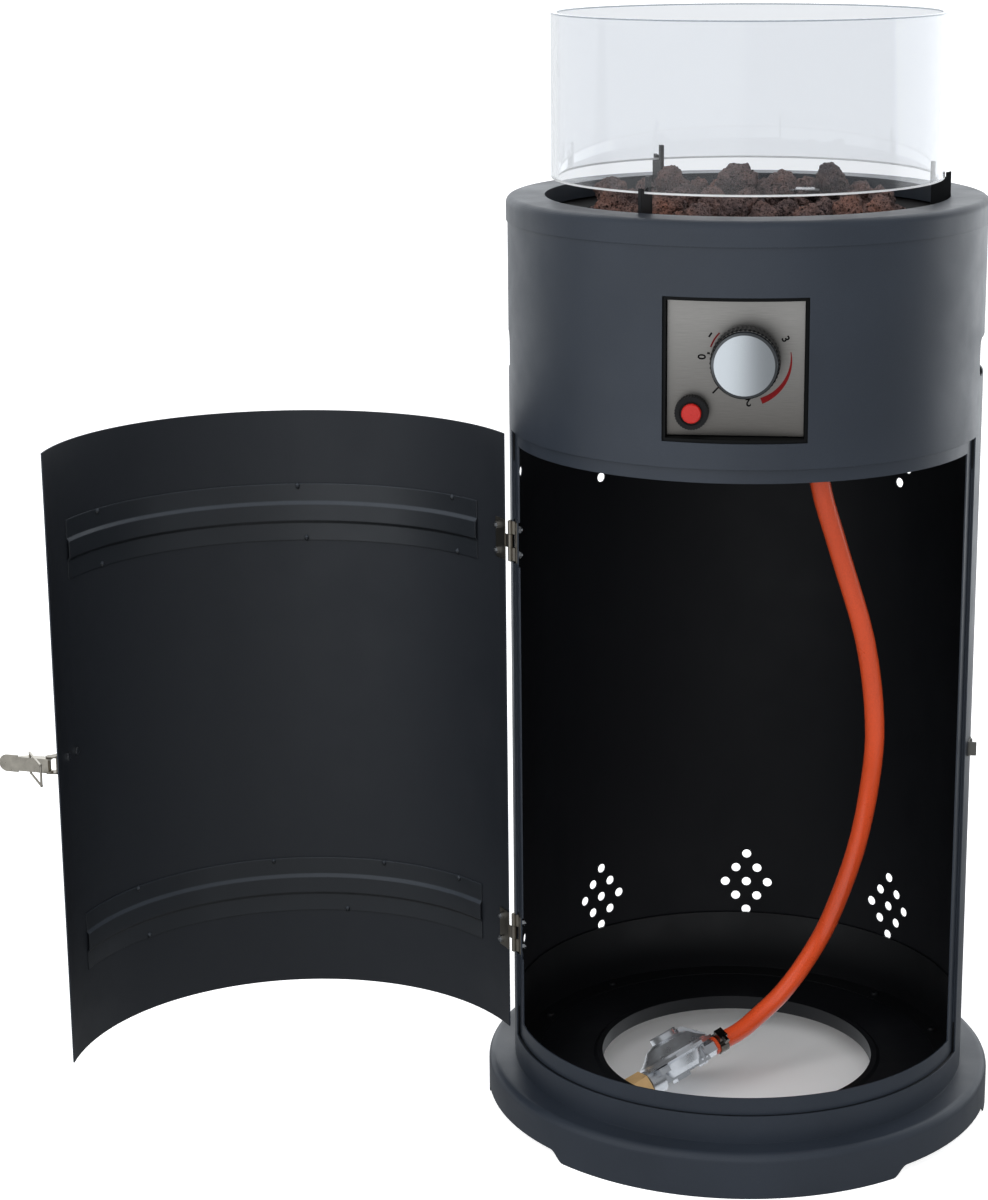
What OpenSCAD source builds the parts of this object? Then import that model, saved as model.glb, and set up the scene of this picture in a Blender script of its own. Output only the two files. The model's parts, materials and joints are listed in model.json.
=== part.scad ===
// Free-standing gas patio heater: a round sheet-steel cabinet for the gas bottle, a burner
// housing with lava rocks above it and a glass wind guard on top. The door stands open.
// Millimetres, +Z up, the front faces -Y, the origin is on the ground under the axis.
// Angles round the cabinet are counted from the front (-Y) towards +X.

/* [Cabinet] */
// Outer radius of the cabinet wall and of the burner housing
body_r = 200; // [196:1:206]
// Thickness of the sheet steel
sheet = 1.2; // [1:0.1:1.4]
// Thickness of the two lap rings that stiffen the wall's ends
lap_t = 2; // [1.6:0.1:2.4]
// Height over which a lap ring backs the wall
lap_h = 27; // [20:1:30]
// Width of the lap rings' flat flanges
flange_w = 17.6; // [14:0.1:22]
// Height of the cabinet wall
wall_h = 548.5; // [541:0.5:557]
// Half angle of the doorway at the wall's edges
way_a = 75.2; // [75:0.1:75.6]
// Half angle of the clear opening inside the door frame
clear_a = 71.3; // [69:0.1:71.6]
// Height of the door frame's lower band over the seam with the base
band_low_h = 15; // [13:1:21]
// Height of the door frame's upper band below the wall's top edge
band_top_h = 11.5; // [9:0.5:20]

/* [Vents] */
// Angle from one vent cluster to the next
vent_step_a = 43; // [40:1:44]
// Height of the lower vent clusters over the seam with the base
vent_low_rise = 58; // [55:1:77]
// Distance of the upper vent clusters from the wall's top edge
vent_high_drop = 53.5; // [51.5:0.5:80]
// Diameter of one vent hole
vent_d = 8.6; // [6:0.2:10]
// Distance between the rows of a cluster
vent_row = 14.2; // [12:0.2:16]
// Distance between two holes of a row
vent_pitch = 20.4; // [16:0.2:22]

/* [Base] */
// How far the base's skirt stands out of the cabinet wall
base_overhang = 23.5; // [18:0.5:30]
// Height of the base's ledge
ledge_z = 39; // [36:1:44]
// Radius of the rounded edge between skirt and ledge
ledge_round = 7; // [4:1:9]
// Height of the base's upstand over its ledge
upstand_h = 24; // [20:1:30]
// How far the floor inside the cabinet lies below the ledge
floor_drop = 6.2; // [5:0.2:10]
// Width of the floor round its hole
floor_w = 77.8; // [74:0.2:88]
// Depth of the floor hole's turned-down rim
rim_depth = 11; // [6:1:14]
// Width of a cut-out between two feet
foot_gap_w = 162; // [140:1:176]
// Height of a cut-out between two feet
foot_gap_h = 9; // [6:0.5:12]

/* [Door] */
// Half angle of the door
door_a = 74.6; // [74.2:0.1:74.7]
// Gap between the base and the door's lower edge
door_low_gap = 4; // [2:0.5:8]
// Gap between the door's upper edge and the burner housing
door_top_gap = 5; // [3.5:0.5:8]
// Angle by which the door stands open
door_open_a = 162.7; // [0:0.1:170]
// Depth of a door stiffener
stiff_depth = 3; // [2:0.5:6]
// Height of a door stiffener
stiff_h = 52; // [44:1:60]
// Half angle of a door stiffener
stiff_a = 62; // [50:1:64]
// Distance of the upper stiffener's middle from the door's upper edge
stiff_high_drop = 92; // [76:0.5:106]
// Distance of the lower stiffener's middle from the door's lower edge
stiff_low_rise = 95; // [83:1:113]

/* [Hinges] */
// Angle of the hinge axis
hinge_a = -76.6; // [-76.8:0.1:-76.5]
// How far the hinge axis stands out of the wall's outer face
hinge_out = 1.2; // [1.2:0.1:1.8]
// Outer radius of a hinge knuckle
knuckle_r = 2.2; // [2:0.1:2.4]
// Radius of a hinge pin
pin_r = 1.2; // [1:0.1:1.3]
// Height of a hinge
hinge_h = 35; // [32:1:40]
// Thickness of a hinge leaf
leaf_t = 0.8; // [0.6:0.1:0.8]
// Distance of the upper hinge's middle from the door's upper edge
hinge_high_drop = 92; // [76:0.5:106]
// Distance of the lower hinge's middle from the door's lower edge
hinge_low_rise = 91.5; // [83:0.5:113]
// Distance between the two bolts of a leaf
bolt_pitch = 22; // [20:1:24]

/* [Latch] */
// Height of the latch over the door's lower edge
latch_rise = 271; // [233:1:313]
// Angle of the latch lever's pivot on the door
latch_a = 74; // [73.5:0.1:74.2]
// Height of the lever's pivot above the door's face
pivot_n = 7; // [6.5:0.5:8]
// Angle by which the lever stands open
lever_open_a = 79; // [0:1:100]
// Distance from the lever's pivot to the bail's
bail_at = 18; // [16:0.5:20]
// Length of the bail
bail_len = 38; // [37:0.5:40]
// Direction of the bail from the door's face, with the lever open
bail_a = -28.8; // [-30:0.2:-20]
// Angle of the keeper's hook on the wall
keeper_a = 78.9; // [78.6:0.1:79.2]

/* [Burner housing] */
// Height of the burner housing up to the lid's lower edge
housing_h = 173.9; // [168:0.1:180]
// Height of the lid
lid_h = 20.1; // [17:0.1:26]
// Radius of the lid's rounded edge
lid_round = 6; // [3:0.5:8]
// Width of the lid round its hole
lid_ledge_w = 31.3; // [28:0.1:34]
// Depth of the collar round the lid's hole
lip_h = 14.3; // [12:0.1:16]
// Height of the heat shield over the wall's top edge
shield_rise = 10.5; // [6.5:0.5:14.5]
// Width of a hand hole
hand_w = 87; // [70:1:95]
// Height of a hand hole
hand_h = 33; // [25:1:38]
// Height of the hand holes' middle over the wall's top edge
hand_rise = 64.5; // [48:0.5:88]

/* [Control panel] */
// Side of the square opening for the panel
panel_side = 114.2; // [110:0.2:118]
// Height of the panel's middle over the wall's top edge
panel_rise = 77.9; // [74:0.1:82]
// Width of the dark gap round the panel plate
panel_gap = 3.6; // [3:0.1:4]
// How deep the plate's face lies behind the housing's front
plate_depth = 16.8; // [15:0.2:18]
// Sideways place of the knob
knob_x = 8; // [4:0.5:12]
// Height of the knob over the panel's middle
knob_rise = 7.4; // [4:0.2:10]
// Radius of the chrome cap on the knob
cap_r = 26.4; // [22:0.1:27]
// Radius of the knurled grip
grip_r = 27.4; // [27:0.1:28]
// Height of the knob's face over the plate
knob_h = 33; // [28:1:36]
// Travel of the knob when it is pushed in
knob_push = 5; // [3:0.5:6]
// Sideways place of the igniter
igniter_x = -33.8; // [-36:0.1:-32]
// How far the igniter lies below the panel's middle
igniter_drop = 34.4; // [32:0.2:36]
// Radius of the red button
button_r = 7.8; // [6.5:0.1:8]
// Travel of the button
button_push = 3; // [2:0.5:3.5]

/* [Burner] */
// Distance from the lid's hole to the wall of the well that holds the rocks
well_gap = 30.7; // [24:0.1:38]
// Depth of the well's floor below the lid's top
well_depth = 60.5; // [54:0.5:65]
// Distance from the well's wall to the middle of the ring burner's tube
burner_gap = 50; // [43:1:68]
// Distance from the ring burner's middle line to the spark electrode
pilot_gap = 42; // [40:0.2:49]
// How far the spark electrode stands behind the heater's middle
pilot_y = 28; // [22:1:34]
// Radius of the ring burner's tube
burner_tube_r = 9; // [7:0.5:10]
// How much higher the highest lava rocks lie than the lowest of their layer
rock_lift = 4; // [0:1:6]
// Mean radius of a lava rock
rock_r = 13.6; // [12:0.2:14]

/* [Glass] */
// Gap between the glass wind guard and the lid's hole
glass_gap = 5.5; // [5.3:0.1:7.7]
// Thickness of the glass
glass_t = 5; // [4:0.5:5]
// Height of the glass's lower edge over the lid
glass_rise = 14.5; // [8.5:0.5:20]
// Height of the glass wind guard
glass_h = 134; // [110:1:160]

/* [Gas line] */
// Diameter of the gas hose
hose_d = 16.5; // [15:0.5:18]
// Sideways place of the hose nipple
nipple_x = 66; // [64:1:70]
// Distance from the plate's face back to the hose nipple
nipple_depth = 46.2; // [43:0.2:48]
// How far the hose nipple's end lies below the knob's axis
nipple_drop = 46.8; // [44:0.2:48]

/* [Hidden] */
$fn = 96;
fine_fn = 32;
tiny = 0.01;
// Clearance of a bolt or a rivet in its hole
bolt_gap = 0.1;
// Radial clearance of a pin or a shaft that turns
run_gap = 0.06;
// Gap between two hinge knuckles or stacked moving parts
side_gap = 0.3;
charcoal = "#3b4248";
dark = "#15171b";
steel = "#b9bcc0";

wall_in_r = body_r - sheet;
frame_r = wall_in_r - lap_t;
frame_in_r = frame_r - sheet;
base_r = body_r + base_overhang;
flange_r = frame_in_r - flange_w;
floor_hole_r = wall_in_r - floor_w;
floor_z = ledge_z - floor_drop;
wall_z = ledge_z + upstand_h;
wall_top_z = wall_z + wall_h;
band_low_z = wall_z + band_low_h;
band_top_z = wall_top_z - band_top_h;
vent_low_z = wall_z + vent_low_rise;
vent_high_z = wall_top_z - vent_high_drop;
door_low_z = wall_z + door_low_gap;
door_top_z = wall_top_z - door_top_gap;
stiff_low_z = door_low_z + stiff_low_rise;
stiff_high_z = door_top_z - stiff_high_drop;
hinge_low_z = door_low_z + hinge_low_rise;
hinge_high_z = door_top_z - hinge_high_drop;
latch_z = door_low_z + latch_rise;
flange_mid_r = (flange_r + frame_in_r) / 2;
hinge_r = body_r + hinge_out;
hinge_x = hinge_r * sin(hinge_a);
hinge_y = -hinge_r * cos(hinge_a);
hinge_zs = [hinge_low_z, hinge_high_z];
door_bolt_a = hinge_a + 4.9;
wall_bolt_a = hinge_a + 2;
notch_a = hinge_a + 3.3;
lid_seam_z = wall_top_z + housing_h;
lid_top_z = lid_seam_z + lid_h;
lid_r = body_r + sheet;
lid_hole_r = body_r - lid_ledge_w;
lip_low_z = lid_top_z - lip_h;
shield_z = wall_top_z + shield_rise;
hand_z = wall_top_z + hand_rise;
pan_top_z = lip_low_z - sheet;
pan_flange_r = lid_hole_r + 11;
well_r = lid_hole_r - well_gap;
well_z = lid_top_z - well_depth;
well_top_z = well_z + sheet;
burner_r = well_r - burner_gap;
panel_z = wall_top_z + panel_rise;
plate_y = body_r - plate_depth;
knob_z = panel_z + knob_rise;
igniter_z = panel_z - igniter_drop;
nipple_y = plate_y - nipple_depth;
nipple_z = knob_z - nipple_drop;
panel_half = panel_side / 2;
plate_half = panel_half - panel_gap;
tray_wall = 1.4;
tray_back_y = plate_y - 2.2;
knob_face_y = plate_y + knob_h;
valve_front_y = tray_back_y - tray_wall;
valve_back_y = nipple_y + 3;
// Distance of the valve's outlet from the axis
outlet_y = nipple_y + 17;
glass_r = lid_hole_r - glass_gap;
glass_z = lid_top_z + glass_rise;
seat_r = glass_r + 0.8;
clip_t = 3;
burner_z = well_top_z + burner_tube_r + 4;
pilot_at = [burner_r - pilot_gap, pilot_y];
// Hose end at the regulator, and the regulator's direction and roll
reg_at = [-21, -4.8, 38];
reg_turn = 40;
reg_rise = 14.4;
reg_roll = -35;
reg_dir = [cos(reg_rise) * cos(reg_turn), cos(reg_rise) * sin(reg_turn), sin(reg_rise)];
hose_r = hose_d / 2;
hose_sides = 10;
// Route of the hose from the valve's nipple to the regulator
hose_route = [[nipple_x, -nipple_y, nipple_z], [nipple_x, -nipple_y, nipple_z - 20],
    [67, -131, 587], [83, -113, 528], [106, -88, 446], [116, -62, 368], [114, -36, 306],
    [103, 4, 227], [81, 46, 144], [59, 50, 99], [39, 43, 72], [20, 31, 56],
    reg_at + 34 * reg_dir, reg_at + 15 * reg_dir, reg_at];

// Points of an arc about (cx, cy), from angle a1 to angle a2
function arc_pts(cx, cy, r, a1, a2, n) =
    [for (i = [0:n]) [cx + r * cos(a1 + (a2 - a1) * i / n), cy + r * sin(a1 + (a2 - a1) * i / n)]];

// Turns a shape made at the front to the angle a round the cabinet
module at_angle(a) {
    rotate([0, 0, a])
        children();
}

// Part of a ring between two angles counted from the front
module ring_arc(r1, r2, z1, z2, a1, a2) {
    rotate([0, 0, a1 - 90])
        rotate_extrude(angle = a2 - a1)
            translate([r1, z1])
                square([r2 - r1, z2 - z1]);
}

module ring(r1, r2, z1, z2) {
    rotate_extrude()
        translate([r1, z1])
            square([r2 - r1, z2 - z1]);
}

// A cylinder that points outwards from the axis at an angle and a height
module radial_rod(a, z, r1, r2, r) {
    at_angle(a)
        translate([0, 0, z])
            rotate([90, 0, 0])
                translate([0, 0, r1])
                    cylinder(h = r2 - r1, r = r, $fn = fine_fn);
}

// A cylinder along Y, from the distance y1 to the distance y2 in front of the axis
module front_rod(x, z, y1, y2, r, fn = 64) {
    translate([x, -y1, z])
        rotate([90, 0, 0])
            cylinder(h = y2 - y1, r = r, $fn = fn);
}

module upright(x, y, z1, z2, r, fn = fine_fn) {
    translate([x, y, z1])
        cylinder(h = z2 - z1, r = r, $fn = fn);
}

// A straight round rod between two points
module rod(p, q, r) {
    d = q - p;
    translate(p)
        rotate([0, 0, atan2(d.y, d.x)])
            rotate([0, atan2(norm([d.x, d.y]), d.z), 0])
                cylinder(h = norm(d), r = r, $fn = 24);
}

// Rods from point to point, with round corners
module rod_path(pts, r) {
    for (i = [0:len(pts) - 2])
        rod(pts[i], pts[i + 1], r);
    for (i = [1:1:len(pts) - 2])
        translate(pts[i])
            sphere(r = 1.2 * r, $fn = 24);
}

module hinge_notch(a1, a2, r1, r2, spare) {
    for (z = hinge_zs)
        ring_arc(r1, r2, z - hinge_h / 2 - spare, z + hinge_h / 2 + spare, a1, a2);
}

module base() {
    skirt_in_r = base_r - sheet;
    low_z = floor_z - sheet;
    color(charcoal)
        difference() {
            rotate_extrude()
                polygon(concat(
                    [[base_r, 0]],
                    arc_pts(base_r - ledge_round, ledge_z - ledge_round, ledge_round, 0, 90, 6),
                    [[body_r, ledge_z], [body_r, wall_z], [wall_in_r, wall_z], [wall_in_r, floor_z],
                     [floor_hole_r + 8, floor_z], [floor_hole_r + 5, floor_z + 1.8],
                     [floor_hole_r, floor_z + 1.8], [floor_hole_r, floor_z - rim_depth],
                     [floor_hole_r + sheet, floor_z - rim_depth], [floor_hole_r + sheet, low_z],
                     [body_r, low_z], [body_r, ledge_z - sheet]],
                    arc_pts(base_r - ledge_round, ledge_z - ledge_round, ledge_round - sheet, 90, 0, 6),
                    [[skirt_in_r, 0]]));
            for (a = [60, 180, 300])
                foot_gap(a);
            for (a = floor_screw_as)
                at_angle(a)
                    upright(0, -flange_mid_r, low_z - 1, floor_z + 1, screw_r + bolt_gap);
        }
}

// The shallow cut between two feet, with ends like a flat S
module foot_gap(a) {
    half = foot_gap_w / 2;
    run = 14;
    steps = 8;
    curve = [for (i = [0:steps]) [run * i / steps, foot_gap_h * (1 - cos(180 * i / steps)) / 2]];
    at_angle(a)
        translate([0, -body_r + 8, 0])
            rotate([90, 0, 0])
                linear_extrude(base_r - body_r + 12)
                    polygon(concat(
                        [[-half, -1]],
                        [for (p = curve) [-half + p.x, p.y]],
                        [for (i = [steps:-1:0]) [half - curve[i].x, curve[i].y]],
                        [[half, -1]]));
}

screw_r = 2.4;
floor_screw_as = [-138, -109, -40, 40, 109, 138];
ring_screw_as = [-150, -90, -30, 30, 90, 150];

// A pan-head screw that points down, with its head's underside at z = 0
module screw(length) {
    translate([0, 0, -length])
        cylinder(h = length + tiny, r = screw_r, $fn = fine_fn);
    difference() {
        rotate_extrude($fn = fine_fn)
            polygon([[0, 0], [4.4, 0], [4.4, 1.4], [3.4, 2.6], [0, 3]]);
        for (t = [0, 90])
            rotate([0, 0, t])
                translate([-2, -0.4, 1.8])
                    cube([4, 0.8, 2]);
    }
}

module foot_ring() {
    color(dark)
        difference() {
            rotate_extrude()
                polygon([[flange_r, floor_z], [wall_in_r, floor_z], [wall_in_r, wall_z + lap_h],
                    [frame_r, wall_z + lap_h], [frame_r, floor_z + sheet], [flange_r, floor_z + sheet]]);
            ring_arc(frame_r - 1, body_r, wall_z, wall_z + lap_h + 1, -way_a - 0.4, way_a + 0.4);
            for (a = floor_screw_as)
                at_angle(a)
                    upright(0, -flange_mid_r, floor_z - 1, floor_z + sheet + 1, screw_r + bolt_gap);
        }
}

module top_ring() {
    color(dark)
        difference() {
            rotate_extrude()
                polygon([[flange_r, shield_z - sheet], [frame_r, shield_z - sheet],
                    [frame_r, wall_top_z - lap_h], [wall_in_r, wall_top_z - lap_h], [wall_in_r, shield_z],
                    [flange_r, shield_z]]);
            ring_arc(frame_r - 1, body_r, wall_top_z - lap_h - 1, wall_top_z, -way_a - 0.4, way_a + 0.4);
            for (a = ring_screw_as)
                at_angle(a)
                    upright(0, -flange_mid_r, shield_z - sheet - 1, shield_z + 1, screw_r + bolt_gap);
        }
}

// Nine holes in a diamond, seen along the wall's radius
module vent_cluster(a, z) {
    row_step_a = vent_pitch / 2 / body_r * 180 / PI;
    for (row = [-2:2])
        for (k = [0:2 - abs(row)])
            radial_rod(a + (2 * k - 2 + abs(row)) * row_step_a, z + row * vent_row,
                frame_in_r, body_r + 3, vent_d / 2);
}

module cabinet_wall() {
    color(charcoal)
        difference() {
            ring_arc(wall_in_r, body_r, wall_z, wall_top_z, way_a, 360 - way_a);
            for (k = [-2:2], z = [vent_low_z, vent_high_z])
                vent_cluster(180 + k * vent_step_a, z);
            hinge_notch(hinge_a - 1.6, -way_a + 1, frame_r, body_r + 1, 0.4);
            for (z = keeper_rivet_zs)
                radial_rod(keeper_rivet_a, z, frame_r, body_r + 1, rivet_r + bolt_gap);
        }
}

// The step from the frame's strip out to the cabinet wall, beside one edge of the doorway
module jamb_step(side, z1, z2) {
    a1 = min(side * (way_a + 0.4), side * (way_a + 2.2));
    a2 = max(side * (way_a + 0.4), side * (way_a + 2.2));
    ring_arc(frame_r - 0.5, wall_in_r, z1, z2, a1, a2);
}

module door_frame() {
    jamb_a = way_a + 2.4;
    step_low_z = wall_z + lap_h;
    step_high_z = wall_top_z - lap_h;
    free = hinge_h / 2 + 2;
    color(charcoal)
        difference() {
            union() {
                difference() {
                    ring_arc(frame_in_r, frame_r, wall_z - 8, wall_top_z + 8, -jamb_a, jamb_a);
                    ring_arc(frame_in_r - 1, frame_r + 1, band_low_z, band_top_z, -clear_a, clear_a);
                    hinge_notch(notch_a, -clear_a + 1, frame_in_r - 1, frame_r + 1, 2);
                }
                jamb_step(1, step_low_z, step_high_z);
                jamb_step(-1, step_low_z, hinge_low_z - free);
                jamb_step(-1, hinge_low_z + free, hinge_high_z - free);
                jamb_step(-1, hinge_high_z + free, step_high_z);
            }
            for (z = hinge_zs, s = [-1, 1])
                radial_rod(wall_bolt_a, z + s * bolt_pitch / 2, frame_in_r - 2, frame_r + 2,
                    hinge_bolt_r + bolt_gap);
        }
}

module cabinet_screws() {
    color(dark) {
        for (a = floor_screw_as)
            at_angle(a)
                translate([0, -flange_mid_r, floor_z + sheet])
                    screw(7);
        for (a = ring_screw_as)
            at_angle(a)
                translate([0, -flange_mid_r, shield_z + 1])
                    screw(6);
        for (a = ring_screw_as)
            at_angle(a)
                translate([0, -(lid_hole_r + 7), pan_top_z - sheet])
                    rotate([180, 0, 0])
                        screw(6);
    }
}

// Swings a shape made on the closed door to the place where the door stands open
module door_swing() {
    translate([hinge_x, hinge_y, 0])
        rotate([0, 0, -door_open_a])
            translate([-hinge_x, -hinge_y, 0])
                children();
}

module door_shell() {
    color(charcoal)
        door_swing()
            difference() {
                ring_arc(wall_in_r, body_r, door_low_z, door_top_z, -door_a, door_a);
                for (z = hinge_zs, s = [-1, 1])
                    radial_rod(door_bolt_a, z + s * bolt_pitch / 2, frame_r, body_r + 1,
                        hinge_bolt_r + bolt_gap);
                for (a = latch_rivet_as)
                    radial_rod(a, latch_z, frame_r, body_r + 1, rivet_r + bolt_gap);
            }
}

// Hat-section strip on the door's inner face
module stiffener(z) {
    rib = 6.7;
    foot = rib + 2.8;
    half = stiff_h / 2;
    top = stiff_depth - 1;
    color(charcoal)
        door_swing()
            translate([0, 0, z])
                rotate([0, 0, -stiff_a - 90])
                    rotate_extrude(angle = 2 * stiff_a)
                        translate([wall_in_r, 0])
                            polygon([[0, -half], [0, -foot], [-top, -rib], [-top, rib], [0, foot],
                                [0, half], [-1, half], [-1, foot + 0.6], [-top - 1, rib + 0.6],
                                [-top - 1, -rib - 0.6], [-1, -foot - 0.6], [-1, -half]]);
}

module upper_stiffener() { stiffener(stiff_high_z); }
module lower_stiffener() { stiffener(stiff_low_z); }

hinge_bolt_r = 1.5;
knuckle_h = (hinge_h - 2 * side_gap) / 3;

// A knuckle from z1 to z2 on the hinge axis, with the web that joins it to its leaf
module knuckle(z1, z2, web) {
    at_angle(hinge_a)
        translate([0, -hinge_r, z1]) {
            rotate([0, 0, -90])
                cylinder(h = z2 - z1, r = knuckle_r, $fn = fine_fn);
            linear_extrude(z2 - z1)
                polygon(web);
        }
}

module hinge_bore(z1, z2, r) {
    upright(hinge_x, hinge_y, z1 - 1, z2 + 1, r);
}

module wall_leaf(z) {
    low = z - hinge_h / 2;
    high = z + hinge_h / 2;
    leaf_r = frame_r + leaf_t;
    drop = hinge_r - leaf_r;
    web = [[-0.6, 1.35], [-0.6, knuckle_r - 0.5], [3.5, drop + 0.65], [3.9, drop + 0.3], [1.3, 1.3]];
    color(steel)
        difference() {
            union() {
                knuckle(low, low + knuckle_h, web);
                knuckle(high - knuckle_h, high, web);
                ring_arc(frame_r, leaf_r, low, high, hinge_a + 0.3, hinge_a + 3.2);
            }
            hinge_bore(low, high, pin_r);
            for (s = [-1, 1])
                radial_rod(wall_bolt_a, z + s * bolt_pitch / 2, frame_in_r, body_r,
                    hinge_bolt_r + bolt_gap);
        }
}

module upper_hinge_wall_leaf() { wall_leaf(hinge_high_z); }
module lower_hinge_wall_leaf() { wall_leaf(hinge_low_z); }

module door_leaf(z) {
    low = z - knuckle_h / 2;
    high = z + knuckle_h / 2;
    drop = hinge_r - wall_in_r;
    web = [[-0.6, 1.35], [-0.6, knuckle_r - 0.5], [6.5, drop + 0.75], [6.5, drop + 0.25], [1.3, 1.3]];
    color(steel)
        door_swing()
            difference() {
                union() {
                    knuckle(low, high, web);
                    ring_arc(wall_in_r - leaf_t, wall_in_r, z - hinge_h / 2, z + hinge_h / 2,
                        hinge_a + 1.3, hinge_a + 6.2);
                }
                hinge_bore(low, high, pin_r + run_gap);
                for (s = [-1, 1])
                    radial_rod(door_bolt_a, z + s * bolt_pitch / 2, frame_in_r, body_r,
                        hinge_bolt_r + bolt_gap);
            }
}

module upper_hinge_door_leaf() { door_leaf(hinge_high_z); }
module lower_hinge_door_leaf() { door_leaf(hinge_low_z); }

module hinge_pin(z) {
    color(steel)
        upright(hinge_x, hinge_y, z - hinge_h / 2 - 0.6, z + hinge_h / 2 + 0.6, pin_r);
}

module upper_hinge_pin() { hinge_pin(hinge_high_z); }
module lower_hinge_pin() { hinge_pin(hinge_low_z); }

// Bolt through a wall from the radius r1 to r2, with a nut inside and a low head outside
module wall_bolt(a, z, r1, r2, head_r, head_h) {
    radial_rod(a, z, r1 - 4, r2 + tiny, hinge_bolt_r);
    if (head_h > 0)
        radial_rod(a, z, r2, r2 + head_h, head_r);
    at_angle(a)
        translate([0, -r1 + 2.66, z])
            rotate([90, 0, 0])
                cylinder(h = 2.6, r = 3.1, $fn = 6);
}

module hinge_wall_bolts() {
    color("#d8dadd")
        for (z = hinge_zs, s = [-1, 1])
            wall_bolt(wall_bolt_a, z + s * bolt_pitch / 2, frame_in_r, frame_r + leaf_t, 2, 0);
}

module hinge_door_bolts() {
    color("#d8dadd")
        door_swing()
            for (z = hinge_zs, s = [-1, 1])
                wall_bolt(door_bolt_a, z + s * bolt_pitch / 2, wall_in_r - leaf_t, body_r, 2.6, 1.4);
}

rivet_r = 1.6;
latch_half = 8;
ear_t = 1.1;
ear_in = 6.5;
lever_half = ear_in - 0.3;
bail_wire = 1;
bail_half = ear_in + ear_t + 0.4 + bail_wire;
latch_rivet_as = [62.4, 67.5];
keeper_rivet_a = keeper_a + 2;
keeper_rivet_zs = [latch_z - 3.6, latch_z + 3.6];

// Local frame at the latch: x along the door's face towards the keeper, -y outwards
module latch_frame(a) {
    at_angle(a)
        translate([0, -body_r, latch_z])
            children();
}

module latch_base() {
    color(steel)
        door_swing()
            difference() {
                union() {
                    ring_arc(body_r, body_r + sheet, latch_z - latch_half, latch_z + latch_half,
                        58.5, latch_a + 0.5);
                    latch_frame(latch_a)
                        for (s = [-1, 1])
                            translate([0, 0, s * (ear_in + ear_t / 2) - ear_t / 2])
                                linear_extrude(ear_t)
                                    polygon(concat([[-7, 0.02], [-7, -2.5]],
                                        arc_pts(0, -pivot_n, 3.2, 180, 360, 10),
                                        [[3.2, -1.5], [1.6, 0.02]]));
                }
                for (a = latch_rivet_as)
                    radial_rod(a, latch_z, body_r - 1, body_r + 4, rivet_r + bolt_gap);
                latch_frame(latch_a)
                    translate([0, -pivot_n, -10])
                        cylinder(h = 20, r = latch_pin_r, $fn = fine_fn);
                ring_arc(body_r - 3, body_r, latch_z - 10, latch_z + 10, 58, 76);
            }
}

module rivet(a, z, r1, r2) {
    radial_rod(a, z, r1 - 0.6, r2 + 0.6, rivet_r);
    radial_rod(a, z, r2, r2 + 1.3, 3.2);
    radial_rod(a, z, r1 - 1.8, r1 - 0.06, 3.4);
}

module latch_rivets() {
    color("#d8dadd")
        door_swing()
            for (a = latch_rivet_as)
                rivet(a, latch_z, wall_in_r, body_r + sheet);
}

latch_pin_r = 1.2;

module latch_pin() {
    color(steel)
        door_swing()
            latch_frame(latch_a)
                translate([0, -pivot_n, -ear_in - ear_t])
                    cylinder(h = 2 * (ear_in + ear_t), r = latch_pin_r, $fn = fine_fn);
}

// The lever's place: its own frame has the pivot at the origin and the arm along -x
module lever_frame(turn) {
    door_swing()
        latch_frame(latch_a)
            translate([0, -pivot_n, 0])
                rotate([0, 0, turn])
                    children();
}

module latch_lever() {
    web_y = -4.6;
    color("#cfd1d4")
        lever_frame(lever_open_a)
            difference() {
                union() {
                    for (s = [-1, 1])
                        translate([0, 0, s * (lever_half - 0.6) - 0.6])
                            linear_extrude(1.2)
                                polygon([[2.6, -3.4], [2.6, 1.2], [0.8, 2.8], [-3, 2.4], [-20, 1.8],
                                    [-24, -0.5], [-28, web_y + 0.6], [-28, web_y - 0.6], [1.2, web_y - 0.6]]);
                    translate([-30, web_y - 0.6, -lever_half])
                        cube([31, 1.2, 2 * lever_half]);
                    translate([-37, web_y + 0.6, 0])
                        rotate([90, 0, 0]) {
                            cylinder(h = 1.2, r = 7.4, $fn = 64);
                            translate([0, -7.4, 0])
                                cube([10, 14.8, 1.2]);
                        }
                }
                translate([0, 0, -10])
                    cylinder(h = 20, r = latch_pin_r + run_gap, $fn = fine_fn);
                translate([-bail_at, 0, -10])
                    cylinder(h = 20, r = bail_wire + run_gap, $fn = fine_fn);
            }
}

module latch_bail() {
    p = [-bail_at * cos(lever_open_a), -bail_at * sin(lever_open_a)];
    color("#dfe1e3")
        door_swing()
            latch_frame(latch_a)
                translate([p.x, -pivot_n + p.y, 0])
                    rotate([0, 0, -bail_a])
                        rod_path([[0, 0, -ear_in + 1.5], [0, 0, -bail_half], [bail_len, 0, -bail_half],
                            [bail_len, 0, bail_half], [0, 0, bail_half], [0, 0, ear_in - 1.5]], bail_wire);
}

module keeper() {
    color("#9a9a98")
        difference() {
            union() {
                ring_arc(body_r, body_r + sheet, latch_z - 6.5, latch_z + 6.5,
                    keeper_a - 0.5, keeper_a + 3.6);
                latch_frame(keeper_a)
                    translate([0, 0, -6])
                        linear_extrude(12)
                            polygon([[-1.4, -0.5], [-0.2, -0.5], [1.2, -6.8], [0.4, -7.2], [-0.4, -6.8]]);
            }
            for (z = keeper_rivet_zs)
                radial_rod(keeper_rivet_a, z, body_r - 1, body_r + 4, rivet_r + bolt_gap);
        }
}

module keeper_rivets() {
    color("#9a9a98")
        for (z = keeper_rivet_zs)
            rivet(keeper_rivet_a, z, wall_in_r, body_r + sheet);
}

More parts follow.
